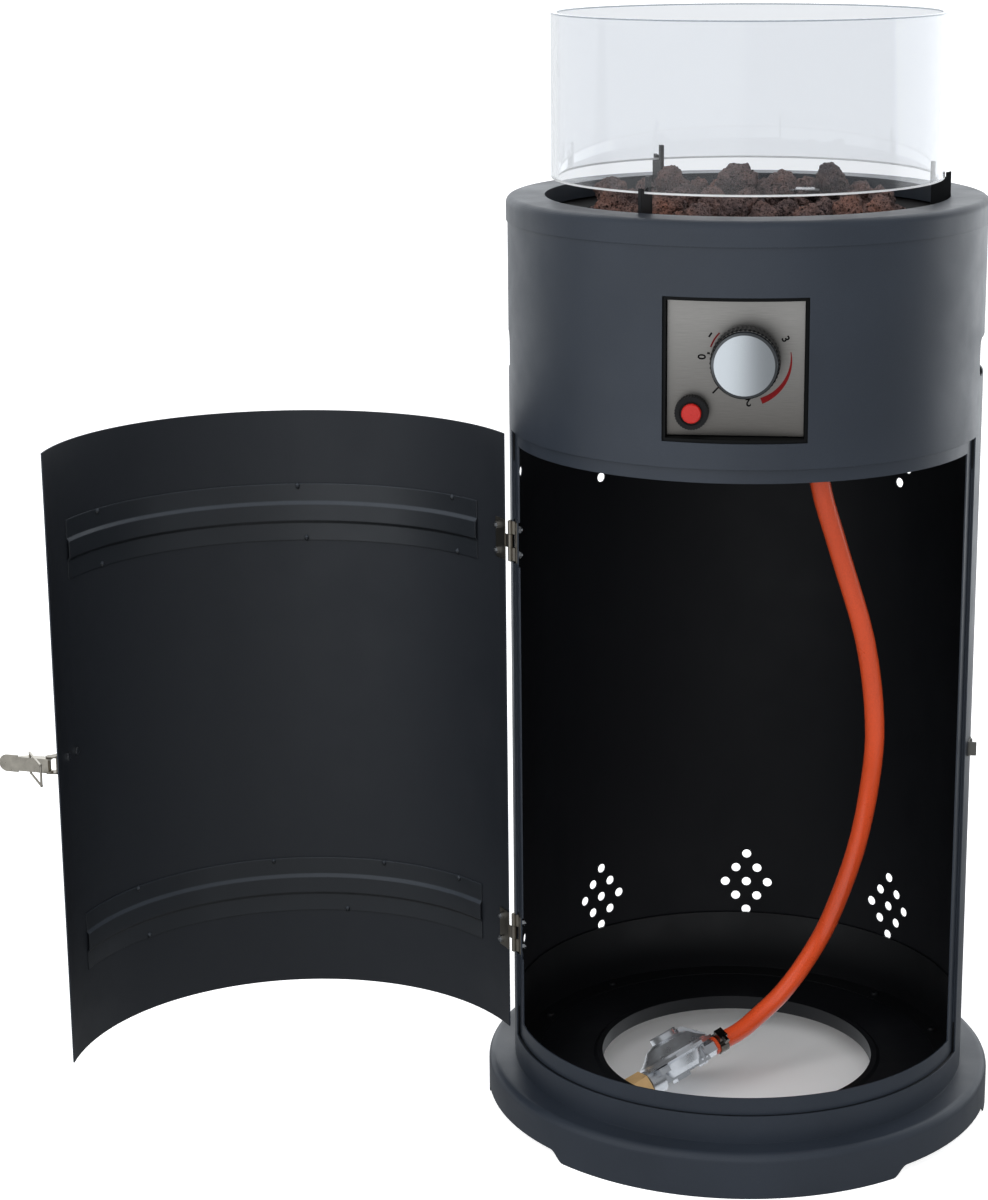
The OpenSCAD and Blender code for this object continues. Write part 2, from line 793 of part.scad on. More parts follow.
module housing() {
    color(charcoal)
        difference() {
            ring(wall_in_r, body_r, wall_top_z, lid_top_z - lid_round);
            translate([-panel_half, -body_r - 5, panel_z - panel_half])
                cube([panel_side, 30, panel_side]);
            for (s = [-1, 1])
                translate([s * body_r, 0, hand_z])
                    rotate([90, 0, 90])
                        translate([0, 0, -20])
                            linear_extrude(40)
                                hand_hole_outline();
        }
}

// A flat slot with rounded corners, wider than high
module hand_hole_outline() {
    corner = 8;
    x = hand_w / 2 - corner;
    y = hand_h / 2 - corner;
    polygon(concat(
        arc_pts(x, y, corner, 0, 90, 6), arc_pts(-x, y, corner, 90, 180, 6),
        arc_pts(-x, -y, corner, 180, 270, 6), arc_pts(x, -y, corner, 270, 360, 6)));
}

module lid() {
    edge_r = lid_r - lid_round;
    edge_z = lid_top_z - lid_round;
    color(charcoal)
        difference() {
            rotate_extrude()
                polygon(concat(
                    [[lid_r, lid_seam_z]],
                    arc_pts(edge_r, edge_z, lid_round, 0, 90, 6),
                    [[lid_hole_r, lid_top_z], [lid_hole_r, lip_low_z], [pan_flange_r, lip_low_z],
                     [pan_flange_r, lip_low_z + sheet], [lid_hole_r + sheet, lip_low_z + sheet],
                     [lid_hole_r + sheet, lid_top_z - sheet]],
                    arc_pts(edge_r, edge_z, lid_round - sheet, 90, 0, 6),
                    [[body_r, lid_seam_z]]));
            for (a = ring_screw_as)
                at_angle(a)
                    upright(0, -(lid_hole_r + 7), lip_low_z - 1, lip_low_z + sheet + 1, screw_r + bolt_gap);
        }
}

module heat_shield() {
    color("#8f9295")
        difference() {
            translate([0, 0, shield_z])
                cylinder(h = 1, r = wall_in_r - 1);
            upright(nipple_x, -nipple_y, shield_z - 1, shield_z + 2, hose_r + 4);
            for (a = ring_screw_as)
                at_angle(a)
                    upright(0, -flange_mid_r, shield_z - 1, shield_z + 2, screw_r + bolt_gap);
        }
}

module square_prism(half, y1, y2, cx = 0) {
    translate([cx - half, -y2, panel_z - half])
        cube([2 * half, y2 - y1, 2 * half]);
}

module panel_holes(y1, y2) {
    front_rod(knob_x, knob_z, y1, y2, boss_r + bolt_gap);
    front_rod(igniter_x, igniter_z, y1, y2, igniter_r + bolt_gap);
}

boss_r = 9;
igniter_r = 9.5;

module panel_tray() {
    out_half = panel_half - 0.2;
    color(dark)
        difference() {
            union() {
                intersection() {
                    square_prism(out_half, valve_front_y, body_r);
                    cylinder(h = 1000, r = wall_in_r - 0.6);
                }
                intersection() {
                    square_prism(out_half + 9, valve_front_y, body_r);
                    ring(frame_r, wall_in_r, panel_z - 80, panel_z + 80);
                }
            }
            square_prism(out_half - 2.6, tray_back_y, body_r + 1);
            panel_holes(valve_front_y - 1, body_r);
        }
}

module panel_plate() {
    color("#a9aaac")
        difference() {
            square_prism(plate_half, tray_back_y, plate_y);
            panel_holes(tray_back_y - 1, plate_y + 1);
        }
}

// Outline of a round grip with teeth
module knurl(r, depth, teeth) {
    polygon([for (i = [0:2 * teeth - 1])
        let (q = (i % 2 == 0) ? r : r - depth)
            [q * cos(180 * i / teeth), q * sin(180 * i / teeth)]]);
}

module knob_grip() {
    low = plate_y + 7.5;
    high = knob_face_y - 9;
    color(dark)
        difference() {
            translate([knob_x, -low, knob_z])
                rotate([90, 0, 0])
                    linear_extrude(high - low)
                        knurl(grip_r, 0.9, 48);
            front_rod(knob_x, knob_z, low - 1, low + knob_push - 1.5, boss_r + 2);
            front_rod(knob_x, knob_z, low - 1, knob_face_y - 11, 3.2);
        }
}

module knob_cap() {
    color("#e4e6e9")
        translate([knob_x, -(knob_face_y - 9), knob_z])
            rotate([90, 0, 0])
                rotate_extrude()
                    polygon([[0, 0], [cap_r, 0], [cap_r, 6.4], [cap_r - 0.8, 8], [cap_r - 2.2, 8.7],
                        [cap_r - 2.8, 9], [0, 9]]);
}

module valve_stem() {
    color("#c9a24a")
        front_rod(knob_x, knob_z, valve_back_y + 12, knob_face_y - 11, 3.2 - run_gap / 2);
}

module valve_plug() {
    color("#b8923c")
        difference() {
            front_rod(knob_x, knob_z, valve_back_y + 6, valve_front_y - 4, boss_r - run_gap);
            front_rod(knob_x, knob_z, valve_back_y + 5, valve_front_y, 3.2);
        }
}

module valve_body() {
    color("#b9bcc0")
        difference() {
            union() {
                front_rod(knob_x, knob_z, valve_back_y, valve_front_y, 14);
                front_rod(knob_x, knob_z, valve_front_y - tiny, plate_y + 5, boss_r);
                translate([knob_x, -outlet_y, knob_z])
                    rotate([0, 90, 0])
                        cylinder(h = nipple_x - knob_x - 10, r = 7, $fn = 48);
                front_rod(knob_x, knob_z, valve_back_y - 6, valve_back_y + tiny, 6);
            }
            front_rod(knob_x, knob_z, valve_back_y + 4, valve_front_y - 3, boss_r);
            front_rod(knob_x, knob_z, valve_front_y - 4, plate_y + 6, 3.3);
        }
}

module igniter_body() {
    color(dark)
        difference() {
            front_rod(igniter_x, igniter_z, plate_y - 42, plate_y + 9.5, igniter_r);
            front_rod(igniter_x, igniter_z, plate_y - 12, plate_y + 10, button_r + run_gap);
        }
}

module igniter_nut() {
    color(dark)
        difference() {
            translate([igniter_x, -plate_y, igniter_z])
                rotate([90, 0, 0])
                    linear_extrude(11)
                        knurl(13.4, 0.6, 36);
            front_rod(igniter_x, igniter_z, plate_y - 1, plate_y + 12, igniter_r);
        }
}

module igniter_button() {
    color("#e03226")
        translate([igniter_x, -(plate_y - 8), igniter_z])
            rotate([90, 0, 0])
                rotate_extrude($fn = 64)
                    polygon([[0, 0], [button_r, 0], [button_r, 20.4], [button_r - 0.8, 21.4], [0, 21.8]]);
}

module igniter_lead() {
    color("#c9c4b4")
        swept_tube([[igniter_x, -plate_y + 42, igniter_z], [igniter_x, -plate_y + 62, igniter_z],
            [-10, -90, jet_z - 30], [24, -40, jet_z - 26],
            [pilot_at.x, pilot_at.y - 10, well_z - 55], [pilot_at.x, pilot_at.y, well_z - 26],
            [pilot_at.x, pilot_at.y, well_z - 10]], 1.6, 8);
}

module electrode() {
    color("#e8e4da") {
        upright(pilot_at.x, pilot_at.y, well_z - 10, well_z + 37, 3.4);
        upright(pilot_at.x, pilot_at.y, well_z - 4, well_z, 5.5);
        upright(pilot_at.x, pilot_at.y, well_z + 36, well_z + 47, 1);
    }
}

thermo_at = pilot_at + [14, -12];

module thermocouple() {
    color("#b87333") {
        upright(thermo_at.x, thermo_at.y, well_z - 6, well_z + 45, 2.6);
        upright(thermo_at.x, thermo_at.y, well_z - 4, well_z, 5);
        rod_path([[thermo_at.x, thermo_at.y, well_z - 5], [thermo_at.x, thermo_at.y, well_z - 23],
            [30, 54 - outlet_y, knob_z + 19.2], [knob_x, -outlet_y, knob_z + 23.2],
            [knob_x, -outlet_y, knob_z + 14]], 1.5);
    }
}

module pilot_shield() {
    w = 20;
    color("#d4d7da") {
        translate([pilot_at.x - 12, pilot_at.y - w / 2, lid_top_z + 0.5])
            cube([26, w, 1]);
        translate([pilot_at.x - 12, pilot_at.y - w / 2, well_top_z])
            cube([1, w, lid_top_z + 1 - well_top_z]);
    }
}

jet_z = well_z - 51;

module gas_pipe() {
    color("#b87333")
        rod_path([[knob_x, -valve_back_y + 6, knob_z], [knob_x, -valve_back_y + 20, knob_z],
            [knob_x, -60, jet_z - 14], [0, 0, jet_z - 18], [0, 0, jet_z]], 4);
}

module injector() {
    color("#c9a24a")
        difference() {
            union() {
                upright(0, 0, jet_z, jet_z + 12, 9, 6);
                upright(0, 0, jet_z + 11.9, jet_z + 20, 5);
            }
            upright(0, 0, jet_z + 18, jet_z + 21, 0.6);
        }
}

module venturi_tube() {
    color("#8f9295")
        difference() {
            union() {
                upright(0, 0, jet_z + 8, well_z, 13, 64);
                upright(0, 0, well_z - 2, well_z, 22, 64);
            }
            upright(0, 0, jet_z + 13, well_z + 1, 11.6, 64);
            upright(0, 0, jet_z + 7, jet_z + 14, 5 + bolt_gap, 64);
            upright(0, 0, jet_z + 7, jet_z + 12.2, 9 + bolt_gap, 64);
            for (t = [0, 90])
                rotate([0, 0, t])
                    translate([-20, 0, jet_z + 26])
                        rotate([0, 90, 0])
                            cylinder(h = 40, r = 4, $fn = fine_fn);
        }
}

module ring_burner() {
    port_r = 1.2;
    color("#8a8c8e")
        difference() {
            union() {
                translate([0, 0, burner_z])
                    rotate_extrude()
                        translate([burner_r, 0])
                            circle(r = burner_tube_r, $fn = 48);
                for (t = [0:120:240])
                    rotate([0, 0, t + 90])
                        translate([0, 0, burner_z])
                            rotate([0, 90, 0])
                                cylinder(h = burner_r - 2, r = 5, $fn = fine_fn);
                upright(0, 0, well_top_z, burner_z + 8, 14, 64);
                for (t = [0:120:240])
                    rotate([0, 0, t + 90])
                        upright(burner_r, 0, well_top_z, burner_z, 3);
            }
            for (i = [0:29])
                rotate([0, 0, i * 12 + 6])
                    upright(burner_r, 0, burner_z + 3, burner_z + 12, port_r, 16);
        }
}

module burner_pan() {
    color("#2c2a29")
        difference() {
            rotate_extrude()
                polygon([[0, well_z], [well_r, well_z], [well_r, pan_top_z - sheet],
                    [pan_flange_r, pan_top_z - sheet], [pan_flange_r, pan_top_z], [well_r - sheet, pan_top_z],
                    [well_r - sheet, well_top_z], [0, well_top_z]]);
            upright(0, 0, well_z - 1, well_top_z + 1, 11.6, 64);
            upright(pilot_at.x, pilot_at.y, well_z - 1, well_top_z + 1, 3.4 + bolt_gap);
            upright(thermo_at.x, thermo_at.y, well_z - 1, well_top_z + 1, 2.6 + bolt_gap);
            for (a = ring_screw_as)
                at_angle(a)
                    upright(0, -(lid_hole_r + 7), pan_top_z - sheet - 1, pan_top_z + 1, screw_r + bolt_gap);
            for (a = clip_as)
                at_angle(a)
                    upright(0, -clip_screw_r, pan_top_z - sheet - 1, pan_top_z + 1, 1.5 + bolt_gap);
        }
}

// One rock that stands on z = 0: a ball of twenty faces whose corners are pushed in
module rock(r, seed) {
    g = (1 + sqrt(5)) / 2;
    s = r / norm([1, g]);
    raw = [[-1, g, 0], [1, g, 0], [-1, -g, 0], [1, -g, 0], [0, -1, g], [0, 1, g],
        [0, -1, -g], [0, 1, -g], [g, 0, -1], [g, 0, 1], [-g, 0, -1], [-g, 0, 1]];
    push = rands(0.8, 1, 12, seed);
    pts = [for (i = [0:11]) raw[i] * s * push[i]];
    translate([0, 0, -min([for (p = pts) p.z])])
        polyhedron(pts,
            [[0, 11, 5], [0, 5, 1], [0, 1, 7], [0, 7, 10], [0, 10, 11], [1, 5, 9], [5, 11, 4],
             [11, 10, 2], [10, 7, 6], [7, 1, 8], [3, 9, 4], [3, 4, 2], [3, 2, 6], [3, 6, 8], [3, 8, 9],
             [4, 9, 5], [2, 4, 11], [6, 2, 10], [8, 6, 7], [9, 8, 1]]);
}

// A ring of rocks between the ring burner and the well, and two full layers above it
module lava_rocks() {
    reach = well_r - sheet - rock_r - 1;
    ring_count = floor(180 / asin(rock_r / reach));
    pitch = 2 * rock_r + 0.4;
    layer_z = well_top_z + 2 * rock_r - 1.5;
    color("#6a4f49") {
        for (i = [0:ring_count - 1])
            rotate([0, 0, 360 / ring_count * i])
                translate([reach, 0, well_top_z])
                    rock(rock_r, 900 + i);
        for (k = [0, 1], i = [-7:7], j = [-6:6]) {
            spot = [pitch * (i + j / 2 + k / 2), pitch * (j * sqrt(3) / 2 + k / sqrt(12)) + 6];
            clear_pilot = norm(spot - pilot_at) > rock_r + 13 && norm(spot - thermo_at) > rock_r + 4;
            if (norm(spot) < reach && clear_pilot)
                translate([spot.x, spot.y,
                        layer_z + k * pitch * 0.83 + k * rands(0, rock_lift, 1, 40 * i + j + 300)[0]])
                    rotate([0, 0, 71 * i + 29 * j])
                        rock(rock_r, 60 * i + j + 500 + 211 * k);
        }
    }
}

clip_as = [-27.6, 90, 211.9];
clip_in_r = glass_r - glass_t - 6.2;
clip_screw_r = clip_in_r - 3;

// Upright bracket that carries the glass, with a finger inside it and a nib outside
module clip(a) {
    finger_r = glass_r - glass_t - 1.8;
    color(dark)
        at_angle(a)
            difference() {
                union() {
                    rotate([90, 0, -90])
                        translate([0, 0, -clip_t / 2])
                            linear_extrude(clip_t)
                                polygon([[clip_in_r, pan_top_z], [clip_in_r, glass_z + 13],
                                    [finger_r, glass_z + 13],
                                    [finger_r, glass_z], [seat_r, glass_z], [seat_r, glass_z + 3.6],
                                    [lid_hole_r - 0.3, glass_z + 4.6], [lid_hole_r - 0.3, pan_top_z]]);
                    translate([-6, -clip_in_r, pan_top_z])
                        cube([12, 10, 1.6]);
                }
                upright(0, -clip_screw_r, pan_top_z - 1, pan_top_z + 3, 1.5 + bolt_gap);
            }
}

module left_clip() { clip(clip_as[0]); }
module right_clip() { clip(clip_as[1]); }
module rear_clip() { clip(clip_as[2]); }

module clip_screws() {
    color(steel)
        for (a = clip_as)
            at_angle(a) {
                upright(0, -clip_screw_r, pan_top_z - sheet - 3, pan_top_z + 1.7, 1.5);
                upright(0, -clip_screw_r, pan_top_z + 1.6, pan_top_z + 3.2, 2.8);
            }
}

module glass() {
    color([0.85, 0.92, 0.93, 0.35])
        ring(glass_r - glass_t, glass_r, glass_z, glass_z + glass_h);
}

module hose_elbow() {
    start_x = nipple_x - 10;
    color("#c9a24a") {
        translate([start_x, -outlet_y, knob_z])
            rotate([0, 90, 0])
                cylinder(h = 10, r = 8, $fn = 6);
        rod_path([[start_x + 9, -outlet_y, knob_z], [nipple_x, -outlet_y, knob_z],
            [nipple_x, -nipple_y, nipple_z + 22], [nipple_x, -nipple_y, nipple_z]], 5);
    }
}

// Point of a smooth curve through the route's points, between point i and the next
function route_pt(pts, i, t) =
    let (n = len(pts) - 1, a = pts[max(i - 1, 0)], b = pts[i], c = pts[min(i + 1, n)], d = pts[min(i + 2, n)])
        0.5 * (2 * b + (c - a) * t + (2 * a - 5 * b + 4 * c - d) * t * t
            + (3 * b - a - 3 * c + d) * t * t * t);

function unit(v) = v / norm(v);

// Rings of points round the route, each square to the way the hose runs there
function sweep_rings(path, r, sides) =
    [for (i = [0:len(path) - 1])
        let (along = unit(path[min(i + 1, len(path) - 1)] - path[max(i - 1, 0)]),
            side = unit(cross([0.3, 0.95, 0.05], along)), other = cross(along, side))
            for (k = [0:sides - 1])
                path[i] + r * (cos(360 * k / sides) * side + sin(360 * k / sides) * other)];

function sweep_faces(rows, sides) = concat(
    [for (i = [0:rows - 2], k = [0:sides - 1])
        let (a = i * sides + k, b = i * sides + (k + 1) % sides)
            [a, b, b + sides]],
    [for (i = [0:rows - 2], k = [0:sides - 1])
        let (a = i * sides + k, b = i * sides + (k + 1) % sides)
            [a, b + sides, a + sides]],
    [for (k = [1:sides - 2]) [0, k + 1, k]],
    [for (k = [1:sides - 2]) let (e = (rows - 1) * sides) [e, e + k, e + k + 1]]);

// A round tube along a smooth curve through the route's points, straight at both ends
module swept_tube(route, r, sides) {
    last = len(route) - 1;
    path = concat([route[0]],
        [for (i = [1:last - 2], t = [0, 0.5]) route_pt(route, i, t)],
        [route[last - 1], route[last]]);
    polyhedron(sweep_rings(path, r, sides), sweep_faces(len(path), sides));
}

module hose() {
    color("#e2572b")
        swept_tube(hose_route, hose_r, hose_sides);
}

// A worm-drive clamp round a hose that runs along +z
module hose_clamp() {
    inner_r = hose_r + 0.05;
    difference() {
        cylinder(h = 9, r = inner_r + 1.1, $fn = 48);
        translate([0, 0, -1])
            cylinder(h = 11, r = inner_r, $fn = 48);
    }
    difference() {
        translate([-5, inner_r + 0.4, 0.5])
            cube([10, 6, 8]);
        translate([0, 0, -1])
            cylinder(h = 11, r = inner_r, $fn = 48);
    }
    translate([-10, inner_r + 4.4, 4.5])
        rotate([0, 90, 0])
            cylinder(h = 5.5, r = 3, $fn = 6);
}

module upper_hose_clamp() {
    color(steel)
        translate([nipple_x, -nipple_y, nipple_z - 16])
            hose_clamp();
}

// The regulator's frame: the hose end at the origin, the hose along +x
module reg_frame() {
    translate(reg_at)
        rotate([0, 0, reg_turn])
            rotate([0, -reg_rise, 0])
                rotate([reg_roll, 0, 0])
                    children();
}

module lower_hose_clamp() {
    color(steel)
        reg_frame()
            translate([3, 0, 0])
                rotate([0, 90, 0])
                    rotate([0, 0, 150])
                        hose_clamp();
}

spigot_r = 8;

module regulator_body() {
    color("#c3c6ca")
        reg_frame() {
            translate([-12, 0, 0])
                rotate([0, 90, 0])
                    cylinder(h = 12, r = 7.8, $fn = 6);
            for (x = [-15, -20])
                translate([x, 0, 0])
                    rotate([0, 90, 0])
                        cylinder(h = 2, r = 9.8, $fn = 48);
            translate([-62, -8, -8])
                cube([51, 16, 16]);
            translate([-49, -6, -11])
                cube([14, 12, 6]);
            translate([-38, 0, 0])
                rotate_extrude()
                    polygon([[0, -6], [17, -6], [20, -2], [24, 6], [30, 8], [34, 10.5], [34, 13.5],
                        [31, 15], [26, 19], [21, 24], [12.8, 27], [0, 27]]);
            translate([-38, 0, 8.3])
                rotate([0, 0, 22.5])
                    cylinder(h = 3, r = 38, $fn = 8);
            rotate([90, 0, 0])
                translate([0, 0, -5])
                    linear_extrude(10)
                        polygon([[-1, 9.5], [-3, 15], [-20, 30], [-25, 30], [-25, 9.5]]);
            translate([-67, -21, 1])
                cube([10, 14, 6]);
            translate([-75, 0, 0])
                rotate([0, 90, 0])
                    cylinder(h = 14, r = 12, $fn = 48);
            translate([-87, 0, 0])
                rotate([0, 90, 0])
                    cylinder(h = 13, r = spigot_r, $fn = 48);
            translate([-89.5, 0, 0])
                rotate([0, 90, 0])
                    cylinder(h = 2.6, r = 9.4, $fn = 48);
        }
}

module regulator_cap() {
    color("#a9adb2")
        reg_frame()
            translate([-38, 0, 27])
                rotate_extrude($fn = 64)
                    polygon([[0, 0], [12.8, 0], [12.8, 5], [11.8, 6], [0, 6]]);
}

module regulator_nut() {
    color("#c9a050")
        reg_frame()
            difference() {
                translate([-94, 0, 0])
                    rotate([0, 90, 0])
                        cylinder(h = 17.4, r = 14.5, $fn = 6);
                translate([-95, 0, 0])
                    rotate([0, 90, 0])
                        cylinder(h = 20, r = spigot_r + run_gap, $fn = 48);
                translate([-95, 0, 0])
                    rotate([0, 90, 0])
                        cylinder(h = 9, r = 9.4 + run_gap, $fn = 48);
            }
}

base();
foot_ring();
cabinet_wall();
door_frame();
top_ring();
cabinet_screws();
door_shell();
upper_stiffener();
lower_stiffener();
upper_hinge_wall_leaf();
lower_hinge_wall_leaf();
upper_hinge_door_leaf();
lower_hinge_door_leaf();
upper_hinge_pin();
lower_hinge_pin();
hinge_wall_bolts();
hinge_door_bolts();
latch_base();
latch_rivets();
latch_pin();
latch_lever();
latch_bail();
keeper();
keeper_rivets();
housing();
lid();
heat_shield();
panel_tray();
panel_plate();
knob_grip();
knob_cap();
valve_stem();
valve_plug();
valve_body();
igniter_body();
igniter_nut();
igniter_button();
igniter_lead();
electrode();
thermocouple();
pilot_shield();
gas_pipe();
injector();
venturi_tube();
ring_burner();
burner_pan();
lava_rocks();
left_clip();
right_clip();
rear_clip();
clip_screws();
glass();
hose_elbow();
hose();
upper_hose_clamp();
lower_hose_clamp();
regulator_body();
regulator_cap();
regulator_nut();
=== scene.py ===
import json
import math
import random

import bpy
import bmesh
from mathutils import Euler, Matrix, Vector, noise

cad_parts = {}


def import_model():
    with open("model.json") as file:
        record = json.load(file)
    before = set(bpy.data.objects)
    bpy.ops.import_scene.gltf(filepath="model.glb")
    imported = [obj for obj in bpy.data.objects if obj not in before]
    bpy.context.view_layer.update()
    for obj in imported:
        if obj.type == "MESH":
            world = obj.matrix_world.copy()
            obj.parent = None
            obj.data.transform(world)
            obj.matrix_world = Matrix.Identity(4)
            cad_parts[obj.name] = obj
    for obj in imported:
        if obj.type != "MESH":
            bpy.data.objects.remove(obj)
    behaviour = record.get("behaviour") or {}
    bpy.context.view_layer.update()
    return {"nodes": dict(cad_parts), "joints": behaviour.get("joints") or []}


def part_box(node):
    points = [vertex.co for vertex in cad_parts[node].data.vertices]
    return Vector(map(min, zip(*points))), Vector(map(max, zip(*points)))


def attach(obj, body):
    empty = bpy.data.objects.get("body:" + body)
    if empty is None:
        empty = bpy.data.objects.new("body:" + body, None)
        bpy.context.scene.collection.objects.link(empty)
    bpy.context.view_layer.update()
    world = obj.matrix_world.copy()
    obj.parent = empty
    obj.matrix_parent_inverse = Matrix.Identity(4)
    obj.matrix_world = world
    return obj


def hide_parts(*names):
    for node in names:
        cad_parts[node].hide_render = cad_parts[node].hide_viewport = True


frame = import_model()
nodes = frame["nodes"]
scene = bpy.context.scene
scene.view_settings.view_transform = "Standard"


# The camera: its place was fitted to the photograph's round edges
def make_camera():
    distance, height, side = 2.274443, 1.051784, math.radians(2.2)
    pitch, yaw, roll = math.radians(14.487), math.radians(-6.066), math.radians(-0.260)
    focal, image_w, image_h = 2708.631, 988, 1200
    middle_x, middle_y = 564.796, 588.621
    forward = Vector((math.sin(yaw) * math.cos(pitch), math.cos(yaw) * math.cos(pitch), -math.sin(pitch)))
    level = Vector((math.cos(yaw), -math.sin(yaw), 0))
    upward = level.cross(forward)
    right = math.cos(roll) * level + math.sin(roll) * upward
    up = math.cos(roll) * upward - math.sin(roll) * level
    data = bpy.data.cameras.new("camera")
    data.sensor_fit = "VERTICAL"
    data.sensor_height = 36
    data.lens = focal / image_h * data.sensor_height
    data.shift_x = (image_w / 2 - middle_x) / image_h
    data.shift_y = (middle_y - image_h / 2) / image_h
    data.clip_start = 0.05
    data.clip_end = 60
    camera = bpy.data.objects.new("camera", data)
    turned = Matrix((right, up, -forward)).transposed().to_4x4()
    turned.translation = Vector((distance * math.sin(side), -distance * math.cos(side), height))
    camera.matrix_world = turned
    scene.collection.objects.link(camera)
    scene.camera = camera


make_camera()

# Places that the pieces below share, in metres, worked out from the frame and the sheet's thickness
door_hinge = next(joint for joint in frame["joints"] if joint["name"] == "door_hinge")
HINGE = Vector(door_hinge["pos_m"])
DOOR_OPEN = -math.radians(door_hinge["range_deg"][1])
WALL_T = 0.0012
WALL_IN_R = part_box("cabinet_wall")[1].x - WALL_T
PLATE_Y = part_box("panel_plate")[0].y
CAP_LOW, CAP_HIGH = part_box("knob_cap")
KNOB_AT = (CAP_LOW + CAP_HIGH) / 2


# Helpers for curves and meshes
def catmull(pts, i, t):
    """A place between point i and the next one, on a smooth curve through all points."""
    last = len(pts) - 1
    a, b, c, d = pts[max(i - 1, 0)], pts[i], pts[min(i + 1, last)], pts[min(i + 2, last)]
    start = 2 * b + (c - a) * t + (2 * a - 5 * b + 4 * c - d) * t * t
    return 0.5 * (start + (3 * b - a - 3 * c + d) * t ** 3)


def smooth_route(pts, steps):
    out = [pts[0]]
    for i in range(1, len(pts) - 2):
        out += [catmull(pts, i, k / steps) for k in range(steps)]
    return out + [pts[-2], pts[-1]]


def tube_curve(name, pts, radius):
    curve = bpy.data.curves.new(name, "CURVE")
    curve.dimensions = "3D"
    curve.bevel_depth = radius
    curve.bevel_resolution = 5
    curve.use_fill_caps = True
    spline = curve.splines.new("POLY")
    spline.points.add(len(pts) - 1)
    for point, place in zip(spline.points, pts):
        point.co = (*place, 1)
    spline.use_smooth = True
    obj = bpy.data.objects.new(name, curve)
    scene.collection.objects.link(obj)
    return obj


def mesh_object(name, bm, mat, body, smooth=True):
    mesh = bpy.data.meshes.new(name)
    bm.normal_update()
    bm.to_mesh(mesh)
    bm.free()
    for poly in mesh.polygons:
        poly.use_smooth = smooth
    mesh.materials.append(mat)
    obj = bpy.data.objects.new(name, mesh)
    scene.collection.objects.link(obj)
    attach(obj, body)
    return obj


def around(angle, radius, z):
    """A point round the cabinet: the angle in degrees is counted from the front towards +X."""
    a = math.radians(angle)
    return Vector((radius * math.sin(a), -radius * math.cos(a), z))


def door_swing():
    """Takes a place on the closed door to where the door stands open."""
    return Matrix.Translation(HINGE) @ Matrix.Rotation(DOOR_OPEN, 4, "Z") @ Matrix.Translation(-HINGE)


# Helpers for shader nodes: the owner of a node is a material or the world
def feed(owner, slot, value):
    """Gives an input a constant, or links it to another node's output."""
    if isinstance(value, bpy.types.NodeSocket):
        owner.node_tree.links.new(value, slot)
    elif slot.type == "RGBA":
        slot.default_value = (*value, 1)
    else:
        slot.default_value = value


def node(owner, kind, inputs=None, **settings):
    """A new node; inputs says what is fed to which input, by its name or number."""
    made = owner.node_tree.nodes.new(kind)
    for key, value in settings.items():
        setattr(made, key, value)
    for key, value in (inputs or {}).items():
        feed(owner, made.inputs[key], value)
    return made


def object_coords(owner, stretch=None):
    out = node(owner, "ShaderNodeTexCoord").outputs["Object"]
    if stretch:
        out = node(owner, "ShaderNodeMapping", {"Vector": out, "Scale": stretch}).outputs["Vector"]
    return out


def split_xyz(owner, vector):
    return node(owner, "ShaderNodeSeparateXYZ", {"Vector": vector}).outputs


def maths(owner, operation, a, b=0):
    return node(owner, "ShaderNodeMath", {0: a, 1: b}, operation=operation).outputs["Value"]


def vector_maths(owner, operation, a, b=(0, 0, 0)):
    made = node(owner, "ShaderNodeVectorMath", {0: a, 1: b}, operation=operation)
    return made.outputs["Value" if operation in ("DOT_PRODUCT", "LENGTH") else "Vector"]


def square(owner, value):
    return maths(owner, "MULTIPLY", value, value)


def spread(owner, value, to_low, to_high, at=(0.0, 1.0), ease="LINEAR"):
    """Maps a value from the stretch in at to the stretch from to_low to to_high."""
    inputs = {"Value": value, "From Min": at[0], "From Max": at[1], "To Min": to_low, "To Max": to_high}
    return node(owner, "ShaderNodeMapRange", inputs, interpolation_type=ease).outputs["Result"]


def noise_tex(mat, coords, scale, detail=2.0, rough=0.5):
    inputs = {"Vector": coords, "Scale": scale, "Detail": detail, "Roughness": rough}
    return node(mat, "ShaderNodeTexNoise", inputs).outputs["Fac"]


def cells(mat, coords, scale):
    """How far a place is from the nearest of many scattered points."""
    return node(mat, "ShaderNodeTexVoronoi", {"Vector": coords, "Scale": scale}).outputs["Distance"]


def ramp(mat, fac, stops):
    made = node(mat, "ShaderNodeValToRGB", {"Fac": fac})
    elements = made.color_ramp.elements
    while len(elements) < len(stops):
        elements.new(0.5)
    for element, (place, color) in zip(elements, stops):
        element.position = place
        element.color = (*color, 1)
    return made.outputs["Color"]


def mix_colors(mat, fac, a, b, blend="MIX"):
    made = node(mat, "ShaderNodeMix", data_type="RGBA", blend_type=blend)
    color_inputs = [slot for slot in made.inputs if slot.type == "RGBA"]
    for slot, value in zip((made.inputs[0], *color_inputs), (fac, a, b)):
        feed(mat, slot, value)
    return next(slot for slot in made.outputs if slot.type == "RGBA")


# Helpers for materials
def bsdf(mat):
    return mat.node_tree.nodes["Principled BSDF"]


def finish_input(mat, name, value):
    """Feeds an input of the material's main shader."""
    feed(mat, bsdf(mat).inputs[name], value)


def base_color(mat):
    """The output that gives a material its colour."""
    return bsdf(mat).inputs["Base Color"].links[0].from_socket


def material(name, color, rough, metal=0.0):
    mat = bpy.data.materials.new(name)
    mat.use_nodes = True
    finish_input(mat, "Base Color", color)
    finish_input(mat, "Roughness", rough)
    finish_input(mat, "Metallic", metal)
    return mat


